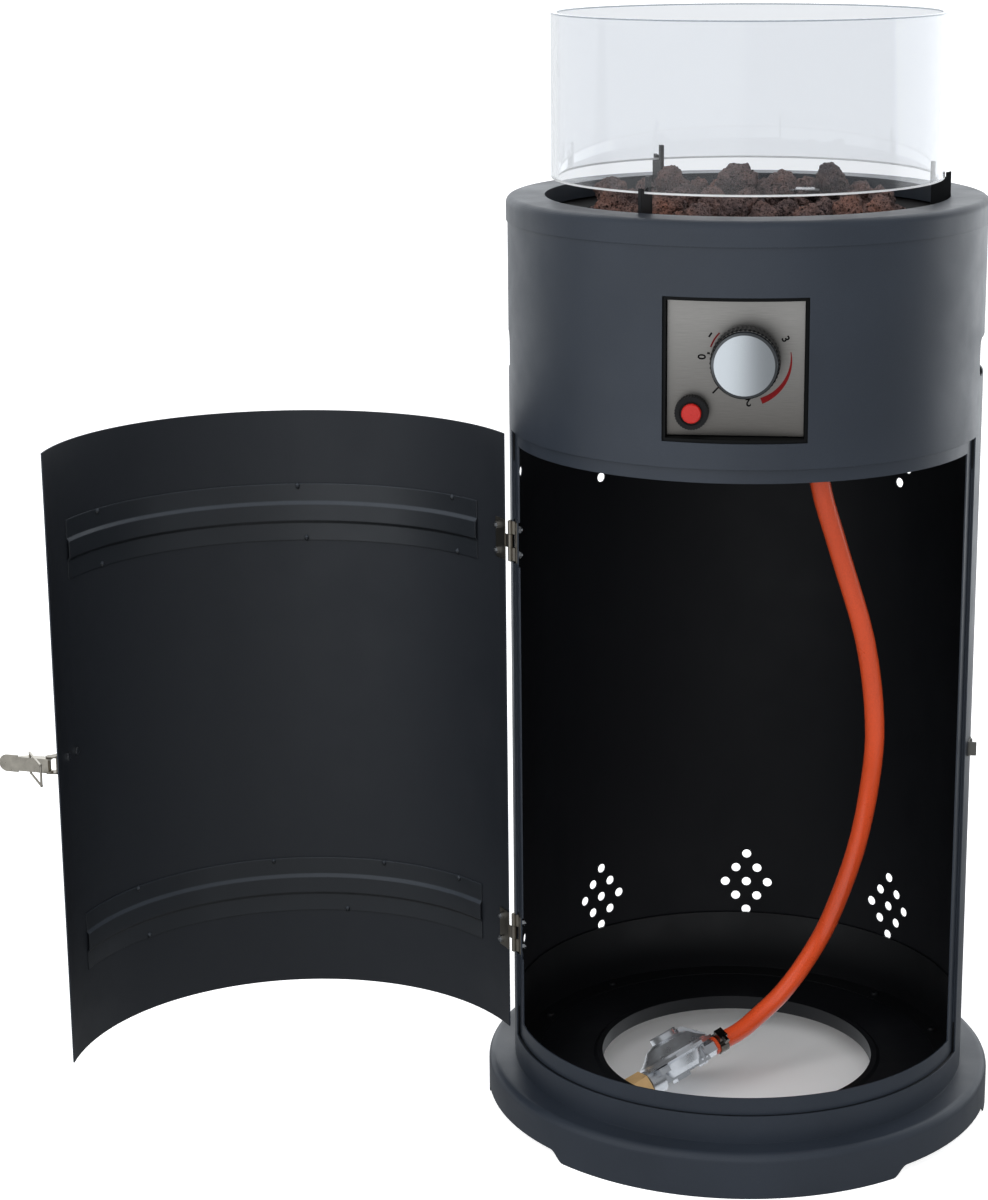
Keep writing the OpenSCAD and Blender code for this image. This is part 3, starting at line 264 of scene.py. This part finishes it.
def bump(mat, height, strength, distance, under=None):
    """Presses a height into the look of a surface, on top of the normal under if there is one."""
    made = node(mat, "ShaderNodeBump", {"Strength": strength, "Distance": distance, "Height": height})
    if under is not None:
        feed(mat, made.inputs["Normal"], under)
    finish_input(mat, "Normal", made.outputs["Normal"])
    return made.outputs["Normal"]


def soft_edges(mat, radius):
    """Rounds the light on sharp edges, as a folded sheet or a cast has them."""
    return node(mat, "ShaderNodeBevel", {"Radius": radius}, samples=4).outputs["Normal"]


def srgb(code):
    """The linear colour of a hex code as it looks on a screen."""
    out = []
    for i in (1, 3, 5):
        c = int(code[i:i + 2], 16) / 255
        out.append(c / 12.92 if c <= 0.04045 else ((c + 0.055) / 1.055) ** 2.4)
    return tuple(out)


def grey(value):
    return (value, value, value)


def scaled(color, factor):
    return tuple(c * factor for c in color)


def inside_mask(mat, centre):
    """1 inside the cabinet: faces that look towards the upright line through centre, or lie near it."""
    looks_in, near = -0.01, 0.1955
    coords = node(mat, "ShaderNodeTexCoord").outputs
    away = vector_maths(mat, "SUBTRACT", coords["Object"], centre)
    flat = vector_maths(mat, "MULTIPLY", away, (1, 1, 0))
    facing = maths(mat, "LESS_THAN", vector_maths(mat, "DOT_PRODUCT", flat, coords["Normal"]), looks_in)
    within = maths(mat, "LESS_THAN", vector_maths(mat, "DOT_PRODUCT", flat, flat), near ** 2)
    return maths(mat, "MAXIMUM", facing, within)


def height_shade(mat, color, dark_z, light_z, dark):
    """Painted shade: darkens a colour towards the height dark_z and leaves it as it is from light_z on."""
    height = split_xyz(mat, object_coords(mat))["Z"]
    level = spread(mat, height, 0, 1, (dark_z, light_z))
    return mix_colors(mat, 1.0, color, ramp(mat, level, [(0.0, dark), (1.0, grey(1))]), "MULTIPLY")


# Materials
def powder(name, tone, rough, grain=1500, depth=0.00006, edge=0.0006, contrast=0.10, inner=None,
           centre=(0, 0, 0), inner_gloss=0.25, gloss=0.5):
    """Paint on sheet steel, or plastic: a fine grain, faint clouds and an uneven gloss.

    With a tone in inner, faces that look inwards have that tone and are duller; that tone is painted shade
    inside the cabinet and the door.
    """
    mat = material(name, tone, rough)
    finish_input(mat, "Specular IOR Level", gloss)
    coords = object_coords(mat)
    clouds = noise_tex(mat, coords, scale=9, detail=4)
    color = ramp(mat, clouds, [(0.3, scaled(tone, 1 - contrast)), (0.7, scaled(tone, 1 + contrast))])
    worn = noise_tex(mat, coords, scale=22, detail=5, rough=0.6)
    dull = spread(mat, worn, rough - 0.05, rough + 0.07, (0.3, 0.7))
    if inner:
        # Painted shade: faces inside the cabinet or the door take the darker inner tone
        mask = inside_mask(mat, centre)
        color = mix_colors(mat, mask, color, inner)
        dull = maths(mat, "ADD", dull, maths(mat, "MULTIPLY", mask, 0.12))
        finish_input(mat, "Specular IOR Level", spread(mat, mask, gloss, inner_gloss))
    fine = noise_tex(mat, coords, scale=grain)
    grit = ramp(mat, fine, [(0.35, grey(0.6)), (0.65, grey(1.4))])
    finish_input(mat, "Base Color", mix_colors(mat, 0.25, color, grit, "MULTIPLY"))
    finish_input(mat, "Roughness", dull)
    bump(mat, fine, 0.55, depth, soft_edges(mat, edge) if edge else None)
    return mat


def brushed(name, color, rough, stretch, scale, shade):
    """Bare sheet with brush lines and painted shade, darker towards one end."""
    mat = material(name, color, rough, metal=1.0)
    lines = noise_tex(mat, object_coords(mat, stretch), scale, detail=3, rough=0.65)
    tone = ramp(mat, lines, [(0.3, scaled(color, 0.72)), (0.7, color)])
    finish_input(mat, "Base Color", height_shade(mat, tone, **shade))
    finish_input(mat, "Roughness", spread(mat, lines, rough - 0.07, rough + 0.12))
    bump(mat, lines, 0.4, 0.00002, soft_edges(mat, 0.0003))
    return mat


def spun_cap(name, color, rough):
    """The knob's cap: fine rings, a painted dark reflection on the bevel and a face slightly domed, so
    that one side is darker.
    """
    bevel, doming, ring_rate, ring_depth = 0.0028, -3.0, 9000, 0.0000015
    face_r = (CAP_HIGH.x - CAP_LOW.x) / 2 - bevel
    mat = material(name, color, rough, metal=1.0)
    away = vector_maths(mat, "SUBTRACT", object_coords(mat), KNOB_AT)
    radius = vector_maths(mat, "LENGTH", vector_maths(mat, "MULTIPLY", away, (1, 0, 1)))
    painted_bevel_reflection = maths(mat, "GREATER_THAN", radius, face_r)
    # Painted reflection: the bevel's metal is darkened, as the chrome mirrors dark there
    finish_input(mat, "Base Color", mix_colors(mat, painted_bevel_reflection, color, scaled(color, 0.22)))
    grain = noise_tex(mat, object_coords(mat), scale=2200)
    finish_input(mat, "Roughness", spread(mat, grain, rough - 0.04, rough + 0.06))
    dome = maths(mat, "MULTIPLY", square(mat, split_xyz(mat, away)["X"]), doming)
    rings = maths(mat, "SINE", maths(mat, "MULTIPLY", radius, ring_rate))
    under = bump(mat, dome, 1.0, 1.0, soft_edges(mat, 0.0004))
    bump(mat, maths(mat, "MULTIPLY", rings, ring_depth), 0.6, 1.0, under)
    return mat


def plated(name, color, rough, blotch=60, dull=0.8, metal=1.0):
    """Metal with soft blotches; dull says how dark they are."""
    mat = material(name, color, rough, metal)
    coords = object_coords(mat)
    big = noise_tex(mat, coords, scale=blotch, detail=4)
    finish_input(mat, "Base Color", ramp(mat, big, [(0.3, scaled(color, dull)), (0.7, color)]))
    finish_input(mat, "Roughness", spread(mat, big, rough - 0.06, rough + 0.12))
    bump(mat, noise_tex(mat, coords, scale=2500), 0.2, 0.00003, soft_edges(mat, 0.0003))
    return mat


def strip_paint(name, tone, rough):
    """Paint of the door's strips, with painted light and shade: lighter on what looks up, darker on what
    looks down, as under a light from above.
    """
    mat = powder(name, tone, rough, edge=0.0012)
    # Painted light and shade by which way a face looks: up is lit, down is shaded
    upward = spread(mat, split_xyz(mat, soft_edges(mat, 0.0016))["Z"], 0, 1, (-0.5, 0.5))
    shade = ramp(mat, upward, [(0.0, grey(0.45)), (0.45, grey(1)), (0.62, grey(1.5)), (0.9, grey(3.2))])
    finish_input(mat, "Base Color", mix_colors(mat, 1.0, base_color(mat), shade, "MULTIPLY"))
    return mat


def hose_material():
    """Orange rubber with painted shade: darker towards the top, where the housing shades it."""
    mat = powder("hose_rubber", srgb("#e0532a"), 0.30, grain=1100, depth=0.00004, edge=0, contrast=0.06)
    # Painted shade on the hose, darkest at the top
    shaded = height_shade(mat, base_color(mat), dark_z=0.72, light_z=0.10, dark=grey(0.52))
    finish_input(mat, "Base Color", shaded)
    return mat


def glass_material():
    """Clear glass with a grey upper edge and a matt, white lower edge."""
    clear, top_tone, foot_tone = (0.93, 0.942, 0.96), (0.40, 0.44, 0.48), (0.96, 0.97, 0.98)
    top_edge, foot_edge = 0.0012, 0.0014
    mat = material("clear_glass", clear, 0.0)
    finish_input(mat, "IOR", 1.45)
    finish_input(mat, "Specular IOR Level", 0.22)
    smears = noise_tex(mat, object_coords(mat), scale=14)
    low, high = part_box("glass")
    height = split_xyz(mat, object_coords(mat))["Z"]
    top = maths(mat, "GREATER_THAN", height, high.z - top_edge)
    foot = maths(mat, "LESS_THAN", height, low.z + foot_edge)
    tone = mix_colors(mat, top, clear, top_tone)
    finish_input(mat, "Base Color", mix_colors(mat, foot, tone, foot_tone))
    finish_input(mat, "Transmission Weight", spread(mat, foot, 1.0, 0.35))
    haze = spread(mat, smears, 0.0, 0.03, (0.45, 0.9))
    finish_input(mat, "Roughness", maths(mat, "ADD", haze, maths(mat, "MULTIPLY", foot, 0.4)))
    return mat


def lava_material():
    """Porous rock: grey-brown with rusty patches, pores of two sizes darkened with painted shade, and a
    rough skin.
    """
    mat = material("lava", srgb("#6a4a42"), 0.92)
    coords = object_coords(mat)
    patches = noise_tex(mat, coords, scale=42, detail=4, rough=0.6)
    rust = node(mat, "ShaderNodeAttribute", attribute_name="rust").outputs["Fac"]
    tones = [(0.30, "#51484a"), (0.52, "#75625f"), (0.72, "#8c6d64"), (1.0, "#a36a53")]
    tone = ramp(mat, maths(mat, "ADD", patches, rust), [(place, srgb(code)) for place, code in tones])
    pores = cells(mat, coords, 620)
    pits = cells(mat, coords, 260)
    grit = noise_tex(mat, coords, scale=900, detail=3, rough=0.6)
    # Painted shade in the pores and pits: their colour goes nearly black
    pore_shade = ramp(mat, pores, [(0.12, (0.12, 0.11, 0.11)), (0.45, grey(1))])
    pit_shade = ramp(mat, pits, [(0.10, (0.10, 0.09, 0.09)), (0.34, grey(1))])
    grit_shade = ramp(mat, grit, [(0.3, grey(0.5)), (0.7, (1.5, 1.45, 1.45))])
    for amount, shade in ((0.85, pore_shade), (0.85, pit_shade), (0.6, grit_shade)):
        tone = mix_colors(mat, amount, tone, shade, "MULTIPLY")
    finish_input(mat, "Base Color", tone)
    skin = maths(mat, "ADD", spread(mat, pores, 0, 1, (0.1, 0.5)), grit)
    under = bump(mat, spread(mat, pits, 0, 1, (0.08, 0.38)), 1.0, 0.0018)
    bump(mat, skin, 1.0, 0.0012, under)
    return mat


PAINT = srgb("#282e37")
INNER_PAINTED_SHADE = srgb("#0f1013")
DOOR_CENTRE = tuple(door_swing() @ Vector((0, 0, 0)))
# Painted shade on the panel plate: darker towards its bottom, below the knob
PANEL_SHADE = {"dark_z": 0.640, "light_z": 0.730, "dark": (0.42, 0.41, 0.40)}

CHARCOAL = powder("charcoal_paint", PAINT, 0.40)
# Painted shade on the insides: the cabinet and the door are darker on faces that look inwards
CABINET = powder("cabinet_paint", PAINT, 0.40, inner=INNER_PAINTED_SHADE)
DOOR = powder("door_paint", PAINT, 0.40, inner=srgb("#1e2126"), centre=DOOR_CENTRE, inner_gloss=0.45)
# The strips' dark tone is painted shade, as on the door's inside, and their paint adds painted light and
# shade
DOOR_INNER = strip_paint("door_strip_paint_and_painted_light", srgb("#1d2024"), 0.36)
BLACK = powder("black_enamel", srgb("#0d0e10"), 0.45, gloss=0.4)
TRAY = powder("tray_enamel", srgb("#060708"), 0.6, gloss=0.25)
PAN = powder("pan_enamel", srgb("#0e0d0d"), 0.7, grain=700, depth=0.0001, gloss=0.08)
ZINC = plated("zinc", srgb("#a39c90"), 0.36)
BRIGHT = plated("bright_steel", srgb("#c9cbce"), 0.24)
LEVER = plated("lever_zinc", srgb("#c8c1b4"), 0.26, blotch=150, dull=0.7)
DULL = plated("dull_steel", srgb("#8f8d88"), 0.42)
CLAMP = plated("clamp_steel", srgb("#6a645e"), 0.22, blotch=300, dull=0.5)
SHEETMETAL = plated("aluminised", srgb("#8b8e91"), 0.42, blotch=25)
PANEL = brushed("panel_steel", srgb("#ccc8c3"), 0.36, stretch=(1, 1, 90), scale=60, shade=PANEL_SHADE)
CHROME = spun_cap("cap_metal", srgb("#d9dee2"), 0.16)
KNOB = powder("knob_plastic", srgb("#0b0b0d"), 0.45, grain=2600, depth=0.00003, edge=0.0002, gloss=0.35)
RED = powder("button_red", srgb("#a81b14"), 0.32, depth=0.00002, edge=0.0004)
BRASS = plated("brass", srgb("#f0c68c"), 0.30, metal=0.3)
CAST = plated("die_cast", srgb("#dadde2"), 0.26, blotch=90, metal=0.8)
COPPER = plated("copper", srgb("#b87345"), 0.3)
CERAMIC = powder("ceramic", srgb("#e6e1d6"), 0.25, grain=900, depth=0.00002)
SLEEVE = powder("sleeve", srgb("#c9c4b4"), 0.6)
HOSE = hose_material()
GLASS = glass_material()
LAVA = lava_material()
PRINT_BLACK = powder("printed_black", srgb("#08080a"), 0.7, edge=0, gloss=0.1)
PRINT_RED = powder("printed_red", srgb("#6e0c10"), 0.6, edge=0, gloss=0.15)

FINISH = {
    CHARCOAL: ["housing", "lid"],
    CABINET: ["base", "cabinet_wall", "door_frame"],
    DOOR: ["door_shell"],
    DOOR_INNER: ["upper_stiffener", "lower_stiffener"],
    BLACK: ["foot_ring", "top_ring", "cabinet_screws", "left_clip", "right_clip", "rear_clip"],
    TRAY: ["panel_tray"],
    ZINC: ["upper_hinge_wall_leaf", "lower_hinge_wall_leaf", "upper_hinge_door_leaf",
           "lower_hinge_door_leaf", "upper_hinge_pin", "lower_hinge_pin", "latch_base", "latch_pin",
           "clip_screws"],
    CLAMP: ["upper_hose_clamp", "lower_hose_clamp"],
    BRIGHT: ["hinge_wall_bolts", "hinge_door_bolts", "latch_rivets", "pilot_shield"],
    LEVER: ["latch_lever", "latch_bail"],
    DULL: ["keeper", "keeper_rivets"],
    SHEETMETAL: ["heat_shield", "venturi_tube", "ring_burner"],
    PANEL: ["panel_plate"],
    KNOB: ["knob_grip", "igniter_body", "igniter_nut"],
    CHROME: ["knob_cap"],
    RED: ["igniter_button"],
    BRASS: ["valve_stem", "valve_plug", "injector", "hose_elbow", "regulator_nut"],
    CAST: ["valve_body", "regulator_body", "regulator_cap"],
    COPPER: ["gas_pipe", "thermocouple"],
    PAN: ["burner_pan"],
    CERAMIC: ["electrode"],
    SLEEVE: ["igniter_lead"],
    LAVA: ["lava_rocks"],
    GLASS: ["glass"],
    HOSE: ["hose"],
}
for mat, names in FINISH.items():
    for name in names:
        mesh = nodes[name].data
        mesh.materials.clear()
        mesh.materials.append(mat)


# The gas hose: the same route as the solid's, in metres
NIPPLE = Vector((0.066, -0.137, 0.650))
REG_AT = Vector((-0.021, -0.0048, 0.038))
REG_TURN, REG_RISE = math.radians(40), math.radians(14.4)
REG_DIR = Matrix.Rotation(REG_TURN, 3, "Z") @ Vector((math.cos(REG_RISE), 0, math.sin(REG_RISE)))
HANG = [
    (0.066, -0.137, 0.630), (0.067, -0.131, 0.587), (0.083, -0.113, 0.528), (0.106, -0.088, 0.446),
    (0.116, -0.062, 0.368), (0.114, -0.036, 0.306), (0.103, 0.004, 0.227), (0.081, 0.046, 0.144),
    (0.059, 0.050, 0.099), (0.039, 0.043, 0.072), (0.020, 0.031, 0.056)]
ROUTE = [NIPPLE, *map(Vector, HANG), REG_AT + 0.034 * REG_DIR, REG_AT + 0.015 * REG_DIR, REG_AT]
HOSE_D = 0.0165


def gas_hose():
    path = smooth_route(ROUTE, 4)
    hose = tube_curve("gas_hose", path, HOSE_D / 2)
    hose.data.materials.append(HOSE)
    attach(hose, "cabinet")
    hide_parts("hose")


gas_hose()


# The lava rocks that show best: x, y and the height of the top in millimetres, radius, and how rusty
TOP_ROCKS = [
    (-68, 45, 824, 15, 0.0), (-10, 36, 827, 19, -0.05), (26, 32, 823, 17.5, 0.0),
    (70, 42, 828, 17, -0.05), (-43, 62, 813, 10, 0.1), (95, 52, 812, 11, 0.05),
    (-91, 70, 811, 10, 0.05), (-115, 12, 818, 15, 0.1), (-108, -50, 816, 18, 0.15),
    (-88, -88, 806, 12, 0.15), (-66, -90, 812, 13, 0.2), (-34, -110, 810, 14, 0.05),
    (-8, -96, 815, 15, 0.0), (18, -108, 812, 15, 0.0), (54, -106, 810, 16, 0.12),
    (66, -80, 811, 12, 0.0), (84, -86, 814, 14, 0.26), (111, -56, 811, 15, 0.15),
    (-25, -30, 815, 15, 0.05), (3, -22, 813, 15, 0.0), (86, -22, 812, 13, 0.1),
    (-60, -48, 813, 15, 0.05), (34, -56, 808, 14, 0.0), (112, 10, 812, 14, 0.05),
    (-82, -8, 812, 15, 0.0), (-52, 12, 813, 14, 0.05), (12, 72, 812, 14, 0.0), (48, 74, 813, 13, 0.05),
    (-22, 84, 812, 14, 0.1), (-62, 96, 810, 13, 0.0), (-14, 114, 809, 13, 0.05),
    (30, 108, 810, 14, 0.0), (76, 88, 811, 14, 0.1), (-100, 36, 806, 12, 0.0), (-34, -72, 806, 13, 0.1)]
# The bed below them: the pan's well, the pilot that stays free, and how the two layers are laid
WELL_R = 0.1368
WELL_SLACK = 0.001
PILOT = Vector((0.046, 0.028, 0))
PILOT_GAP = 0.012
BED_STEP = 0.0272
BED_SHIFT = 0.002
BED_TOPS = (0.7735, 0.7950)
BED_UNEVEN = 0.004
BED_RADII = (0.0128, 0.0150)
# How high and how close the lumps of a rock are, coarse to fine
LUMPS = ((0.22, 1.2), (0.17, 2.6), (0.08, 6.5))


def add_rock(bm, rust_layer, centre, radius, seed, rust, finer):
    """One porous rock: a ball made lumpy by noise at three scales, with grooves and pores pressed in."""
    draw = random.Random(seed)
    turn = Euler([draw.uniform(0, 6.28) for _ in range(3)]).to_matrix()
    squeeze = Vector((1.0, draw.uniform(0.82, 1.0), draw.uniform(0.78, 0.95)))
    shift = Vector([draw.uniform(-50, 50) for _ in range(3)])
    made = bmesh.ops.create_icosphere(bm, subdivisions=finer, radius=1.0)["verts"]
    for v in made:
        n = v.co.normalized()
        lump = sum(height * noise.noise(n * closeness + shift) for height, closeness in LUMPS)
        nearest, second = noise.voronoi(n * 1.9 + shift)[0][:2]
        groove = -0.30 * max(0.0, 0.18 - (second - nearest))
        pore = -0.12 * max(0.0, 1 - noise.voronoi(n * 6.0 + shift)[0][0] / 0.32)
        size = radius * (0.93 + lump + groove + pore)
        v.co = turn @ Vector((n.x * squeeze.x, n.y * squeeze.y, n.z * squeeze.z)) * size
    top = max(v.co.z for v in made)
    for v in made:
        v.co += Vector((centre[0], centre[1], centre[2] - top))
        v[rust_layer] = rust


def rock_spots():
    """The rocks of the photograph, then the bed: place, top, radius, rust and how finely it is divided."""
    spots = [(x / 1000, y / 1000, z / 1000, r / 1000, rust, 5) for x, y, z, r, rust in TOP_ROCKS]
    draw = random.Random(41)
    for layer, top in enumerate(BED_TOPS):
        for i in range(-7, 8):
            for j in range(-6, 7):
                x = BED_STEP * (i + j / 2 + layer / 2) + draw.uniform(-BED_SHIFT, BED_SHIFT)
                row = j * math.sqrt(3) / 2 + layer / math.sqrt(12)
                y = BED_STEP * row + draw.uniform(-BED_SHIFT, BED_SHIFT)
                r = draw.uniform(*BED_RADII)
                in_well = math.hypot(x, y) + r < WELL_R + WELL_SLACK
                if in_well and math.hypot(x - PILOT.x, y - PILOT.y) > r + PILOT_GAP:
                    height, rust = top + draw.uniform(0, BED_UNEVEN), draw.uniform(-0.05, 0.12)
                    spots.append((x, y, height, r, rust, 3 + layer))
    return spots


def rocks():
    bm = bmesh.new()
    rust_layer = bm.verts.layers.float.new("rust")
    for k, (x, y, top, r, rust, finer) in enumerate(rock_spots()):
        reach = math.hypot(x, y)
        limit = WELL_R - 0.96 * r
        if reach > limit:
            x, y = x * limit / reach, y * limit / reach
        add_rock(bm, rust_layer, (x, y, top), r, 700 + k, rust, finer)
    obj = mesh_object("lava_bed", bm, LAVA, "cabinet")
    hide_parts("lava_rocks")


rocks()

# Marks on the panel: plain numbers, two ticks and two red arcs
PRINT_T = 0.00012
STROKE_WIDER = 0.00022


def by_knob(radius, a, y):
    """A place on the panel, at the angle a round the knob, counted from +X towards +Z."""
    return Vector((KNOB_AT.x + radius * math.cos(a), y, KNOB_AT.z + radius * math.sin(a)))


def arc_mark(name, mat, a1, a2, width, radius, steps=40):
    """A thin printed arc round the knob. Its width goes from width[0] at a1 to width[1] at a2."""
    bm = bmesh.new()
    rows = []
    for k in range(steps + 1):
        t = k / steps
        a = math.radians(a1 + (a2 - a1) * t)
        w = width[0] + (width[1] - width[0]) * t
        low, high = radius - w / 2, radius + w / 2
        corners = ((low, 0), (high, 0), (high, -PRINT_T), (low, -PRINT_T))
        rows.append([bm.verts.new(by_knob(r, a, PLATE_Y + y)) for r, y in corners])
    for one, two in zip(rows, rows[1:]):
        for k in range(4):
            bm.faces.new((one[k], one[(k + 1) % 4], two[(k + 1) % 4], two[k]))
    bm.faces.new(rows[0])
    bm.faces.new(reversed(rows[-1]))
    bmesh.ops.recalc_face_normals(bm, faces=bm.faces)
    mesh_object(name, bm, mat, "cabinet", smooth=False)


def number_mark(text, angle, radius, size):
    """A number printed on the plate, its foot towards the knob."""
    data = bpy.data.curves.new("number_" + text, "FONT")
    data.body = text
    data.size = size
    data.extrude = PRINT_T / 2
    data.offset = STROKE_WIDER
    data.align_x, data.align_y = "CENTER", "CENTER"
    data.materials.append(PRINT_BLACK)
    obj = bpy.data.objects.new("number_" + text, data)
    scene.collection.objects.link(obj)
    a, quarter = math.radians(angle), math.radians(90)
    place = Matrix.Translation(by_knob(radius, a, PLATE_Y - PRINT_T / 2))
    obj.matrix_world = place @ Matrix.Rotation(quarter, 4, "X") @ Matrix.Rotation(a - quarter, 4, "Z")
    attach(obj, "cabinet")


def dial():
    arc_mark("power_arc", PRINT_RED, 9.5, -69.6, (0.0006, 0.0050), 0.0352)
    arc_mark("start_arc", PRINT_RED, 136, 162, (0.0012, 0.0012), 0.0290)
    for text, angle in (("0", 178), ("1", 226.8), ("2", 273.5), ("3", 27.6)):
        number_mark(text, angle, 0.0342, 0.0086)
    arc_mark("off_tick", PRINT_BLACK, 170.5, 173.5, (0.0022, 0.0022), 0.0295, 4)
    arc_mark("push_tick", PRINT_BLACK, 143, 150, (0.0014, 0.0014), 0.0336, 6)


dial()

# Spot welds that hold the strips on the door: their angles in the upper and the lower row of each strip
WELDS = {
    "upper_stiffener": ((47.5, -10.8, -54.5), (48.5, -8.8, -52.8)),
    "lower_stiffener": ((37, -19), (40, 0.5, -29.5, -53.2)),
}
WELD_R, WELD_HIGH = 0.0020, 0.0028
WELD_INSET = 0.0022
WELD_LIFT = 0.001


def weld_spots():
    bm = bmesh.new()
    swing = door_swing()
    for strip, angles in WELDS.items():
        low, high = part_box(strip)
        for z, row in zip((low.z + WELD_INSET, high.z - WELD_INSET), angles):
            for angle in row:
                nub = bmesh.ops.create_icosphere(bm, subdivisions=3, radius=1.0)["verts"]
                place = swing @ around(angle, WALL_IN_R - WELD_LIFT, z)
                for v in nub:
                    wobble = 1 + 0.25 * noise.noise(v.co * 2 + place * 90)
                    ball = Vector((v.co.x * WELD_R, v.co.y * WELD_R, v.co.z * WELD_HIGH))
                    v.co = ball * wobble + place
    # The welds share the strips' paint, with its painted light and shade
    mesh_object("weld_spots", bm, DOOR_INNER, "door")


weld_spots()


# The studio: an even pale floor, a pale backdrop all round and soft lamps
def glow(owner, kind, color, strength):
    return node(owner, kind, {"Color": color, "Strength": strength}).outputs[0]


def choose(owner, fac, a, b):
    """The shader a where fac is 0, b where it is 1."""
    return node(owner, "ShaderNodeMixShader", {0: fac, 1: a, 2: b}).outputs["Shader"]


def added(owner, a, b):
    return node(owner, "ShaderNodeAddShader", {0: a, 1: b}).outputs["Shader"]


def shows_to(owner, *rays):
    """1 for the kinds of rays that are named, 0 for the rest."""
    path = node(owner, "ShaderNodeLightPath").outputs
    total = path[rays[0]]
    for name in rays[1:]:
        total = maths(owner, "MAXIMUM", total, path[name])
    return total


def smooth_step(owner, value, start, end, to_start, to_end):
    return spread(owner, value, to_start, to_end, (start, end), "SMOOTHSTEP")


def floor_material():
    """White to the camera, with the glow turned down in the base's hole as painted shade under the heater;
    mirrored, grey in front and brighter behind and in the base's hole.
    """
    mat = material("floor_paint", (0.86, 0.865, 0.87), 0.9)
    at = split_xyz(mat, object_coords(mat))
    reach = maths(mat, "ADD", square(mat, at["X"]), square(mat, at["Y"]))
    plain = bsdf(mat).outputs["BSDF"]
    # Painted shade: the glow to the camera is low in the base's hole, under the heater, and high outside
    # it
    outside = smooth_step(mat, reach, 0.030, 0.045, 0.09, 0.78)
    to_camera = glow(mat, "ShaderNodeEmission", (1, 1, 1), outside)
    through_glass = glow(mat, "ShaderNodeEmission", (0.97, 0.985, 1), 0.30)
    ahead = smooth_step(mat, at["Y"], -1.5, -0.4, 1, 0)
    left = smooth_step(mat, at["X"], -1.0, 0.8, 0.70, 0.0)
    behind = smooth_step(mat, at["Y"], 0.3, 1.7, 0, 1)
    right = smooth_step(mat, at["X"], 0.7, 2.0, 0.75, 1.75)
    below = smooth_step(mat, reach, 0.020, 0.045, 0.95, 0.30)
    far = maths(mat, "ADD", maths(mat, "MULTIPLY", behind, right), below)
    strength = maths(mat, "ADD", maths(mat, "MULTIPLY", ahead, left), far)
    mirrored = glow(mat, "ShaderNodeEmission", (0.93, 0.965, 1), strength)
    shader = choose(mat, shows_to(mat, "Is Glossy Ray"), plain, mirrored)
    shader = choose(mat, shows_to(mat, "Is Transmission Ray"), shader, added(mat, plain, through_glass))
    shader = choose(mat, shows_to(mat, "Is Camera Ray"), shader, added(mat, plain, to_camera))
    feed(mat, mat.node_tree.nodes["Material Output"].inputs["Surface"], shader)
    return mat


def floor():
    bm = bmesh.new()
    bmesh.ops.create_grid(bm, x_segments=1, y_segments=1, size=30)
    mesh = bpy.data.meshes.new("floor")
    bm.to_mesh(mesh)
    bm.free()
    mesh.materials.append(floor_material())
    obj = bpy.data.objects.new("floor", mesh)
    scene.collection.objects.link(obj)


def world():
    """A white backdrop to the camera and through the glass; mirrored, a room that is brighter behind."""
    made = bpy.data.worlds.new("studio")
    scene.world = made
    made.use_nodes = True
    ambient = made.node_tree.nodes["Background"]
    feed(made, ambient.inputs["Color"], (0.95, 0.97, 1.0))
    feed(made, ambient.inputs["Strength"], 0.42)
    at = split_xyz(made, node(made, "ShaderNodeTexCoord").outputs["Generated"])
    behind = smooth_step(made, at["Y"], 0.15, 0.65, 0.34, 1.5)
    left = smooth_step(made, at["X"], -0.7, 0.2, 0.40, 0.0)
    ahead = smooth_step(made, at["Y"], -0.6, 0.1, 1, 0)
    strength = maths(made, "ADD", behind, maths(made, "MULTIPLY", left, ahead))
    room = glow(made, "ShaderNodeBackground", (0.93, 0.965, 1.0), strength)
    backdrop = glow(made, "ShaderNodeBackground", (1, 1, 1), 1.0)
    shader = choose(made, shows_to(made, "Is Glossy Ray"), ambient.outputs["Background"], room)
    shader = choose(made, shows_to(made, "Is Camera Ray", "Is Transmission Ray"), shader, backdrop)
    feed(made, made.node_tree.nodes["World Output"].inputs["Surface"], shader)


def lamp(name, place, aim, size, power):
    data = bpy.data.lights.new(name, "AREA")
    data.shape = "RECTANGLE"
    data.size, data.size_y = size
    data.energy = power
    obj = bpy.data.objects.new(name, data)
    scene.collection.objects.link(obj)
    obj.location = place
    obj.rotation_euler = (Vector(aim) - Vector(place)).to_track_quat("-Z", "Y").to_euler()
    obj.visible_glossy = obj.visible_transmission = obj.visible_camera = False


def wide_sun():
    data = bpy.data.lights.new("wide_sun", "SUN")
    data.energy = 0.9
    data.angle = math.radians(60)
    obj = bpy.data.objects.new("wide_sun", data)
    scene.collection.objects.link(obj)
    obj.rotation_euler = (math.radians(18), math.radians(-14), 0)
    obj.visible_glossy = obj.visible_transmission = False


def lamps():
    wide_sun()
    lamp("key", (-2.2, -1.8, 1.9), (0, 0, 0.6), (1.2, 1.6), 20)
    lamp("fill", (0.5, -2.7, 1.0), (0, 0, 0.4), (1.6, 1.6), 32)
    lamp("left_strip", (-1.8, 2.1, 0.7), (0, 0, 0.5), (0.5, 1.4), 8)
    lamp("right_strip", (1.7, 2.0, 0.7), (0, 0, 0.5), (0.6, 1.4), 20)


floor()
world()
lamps()
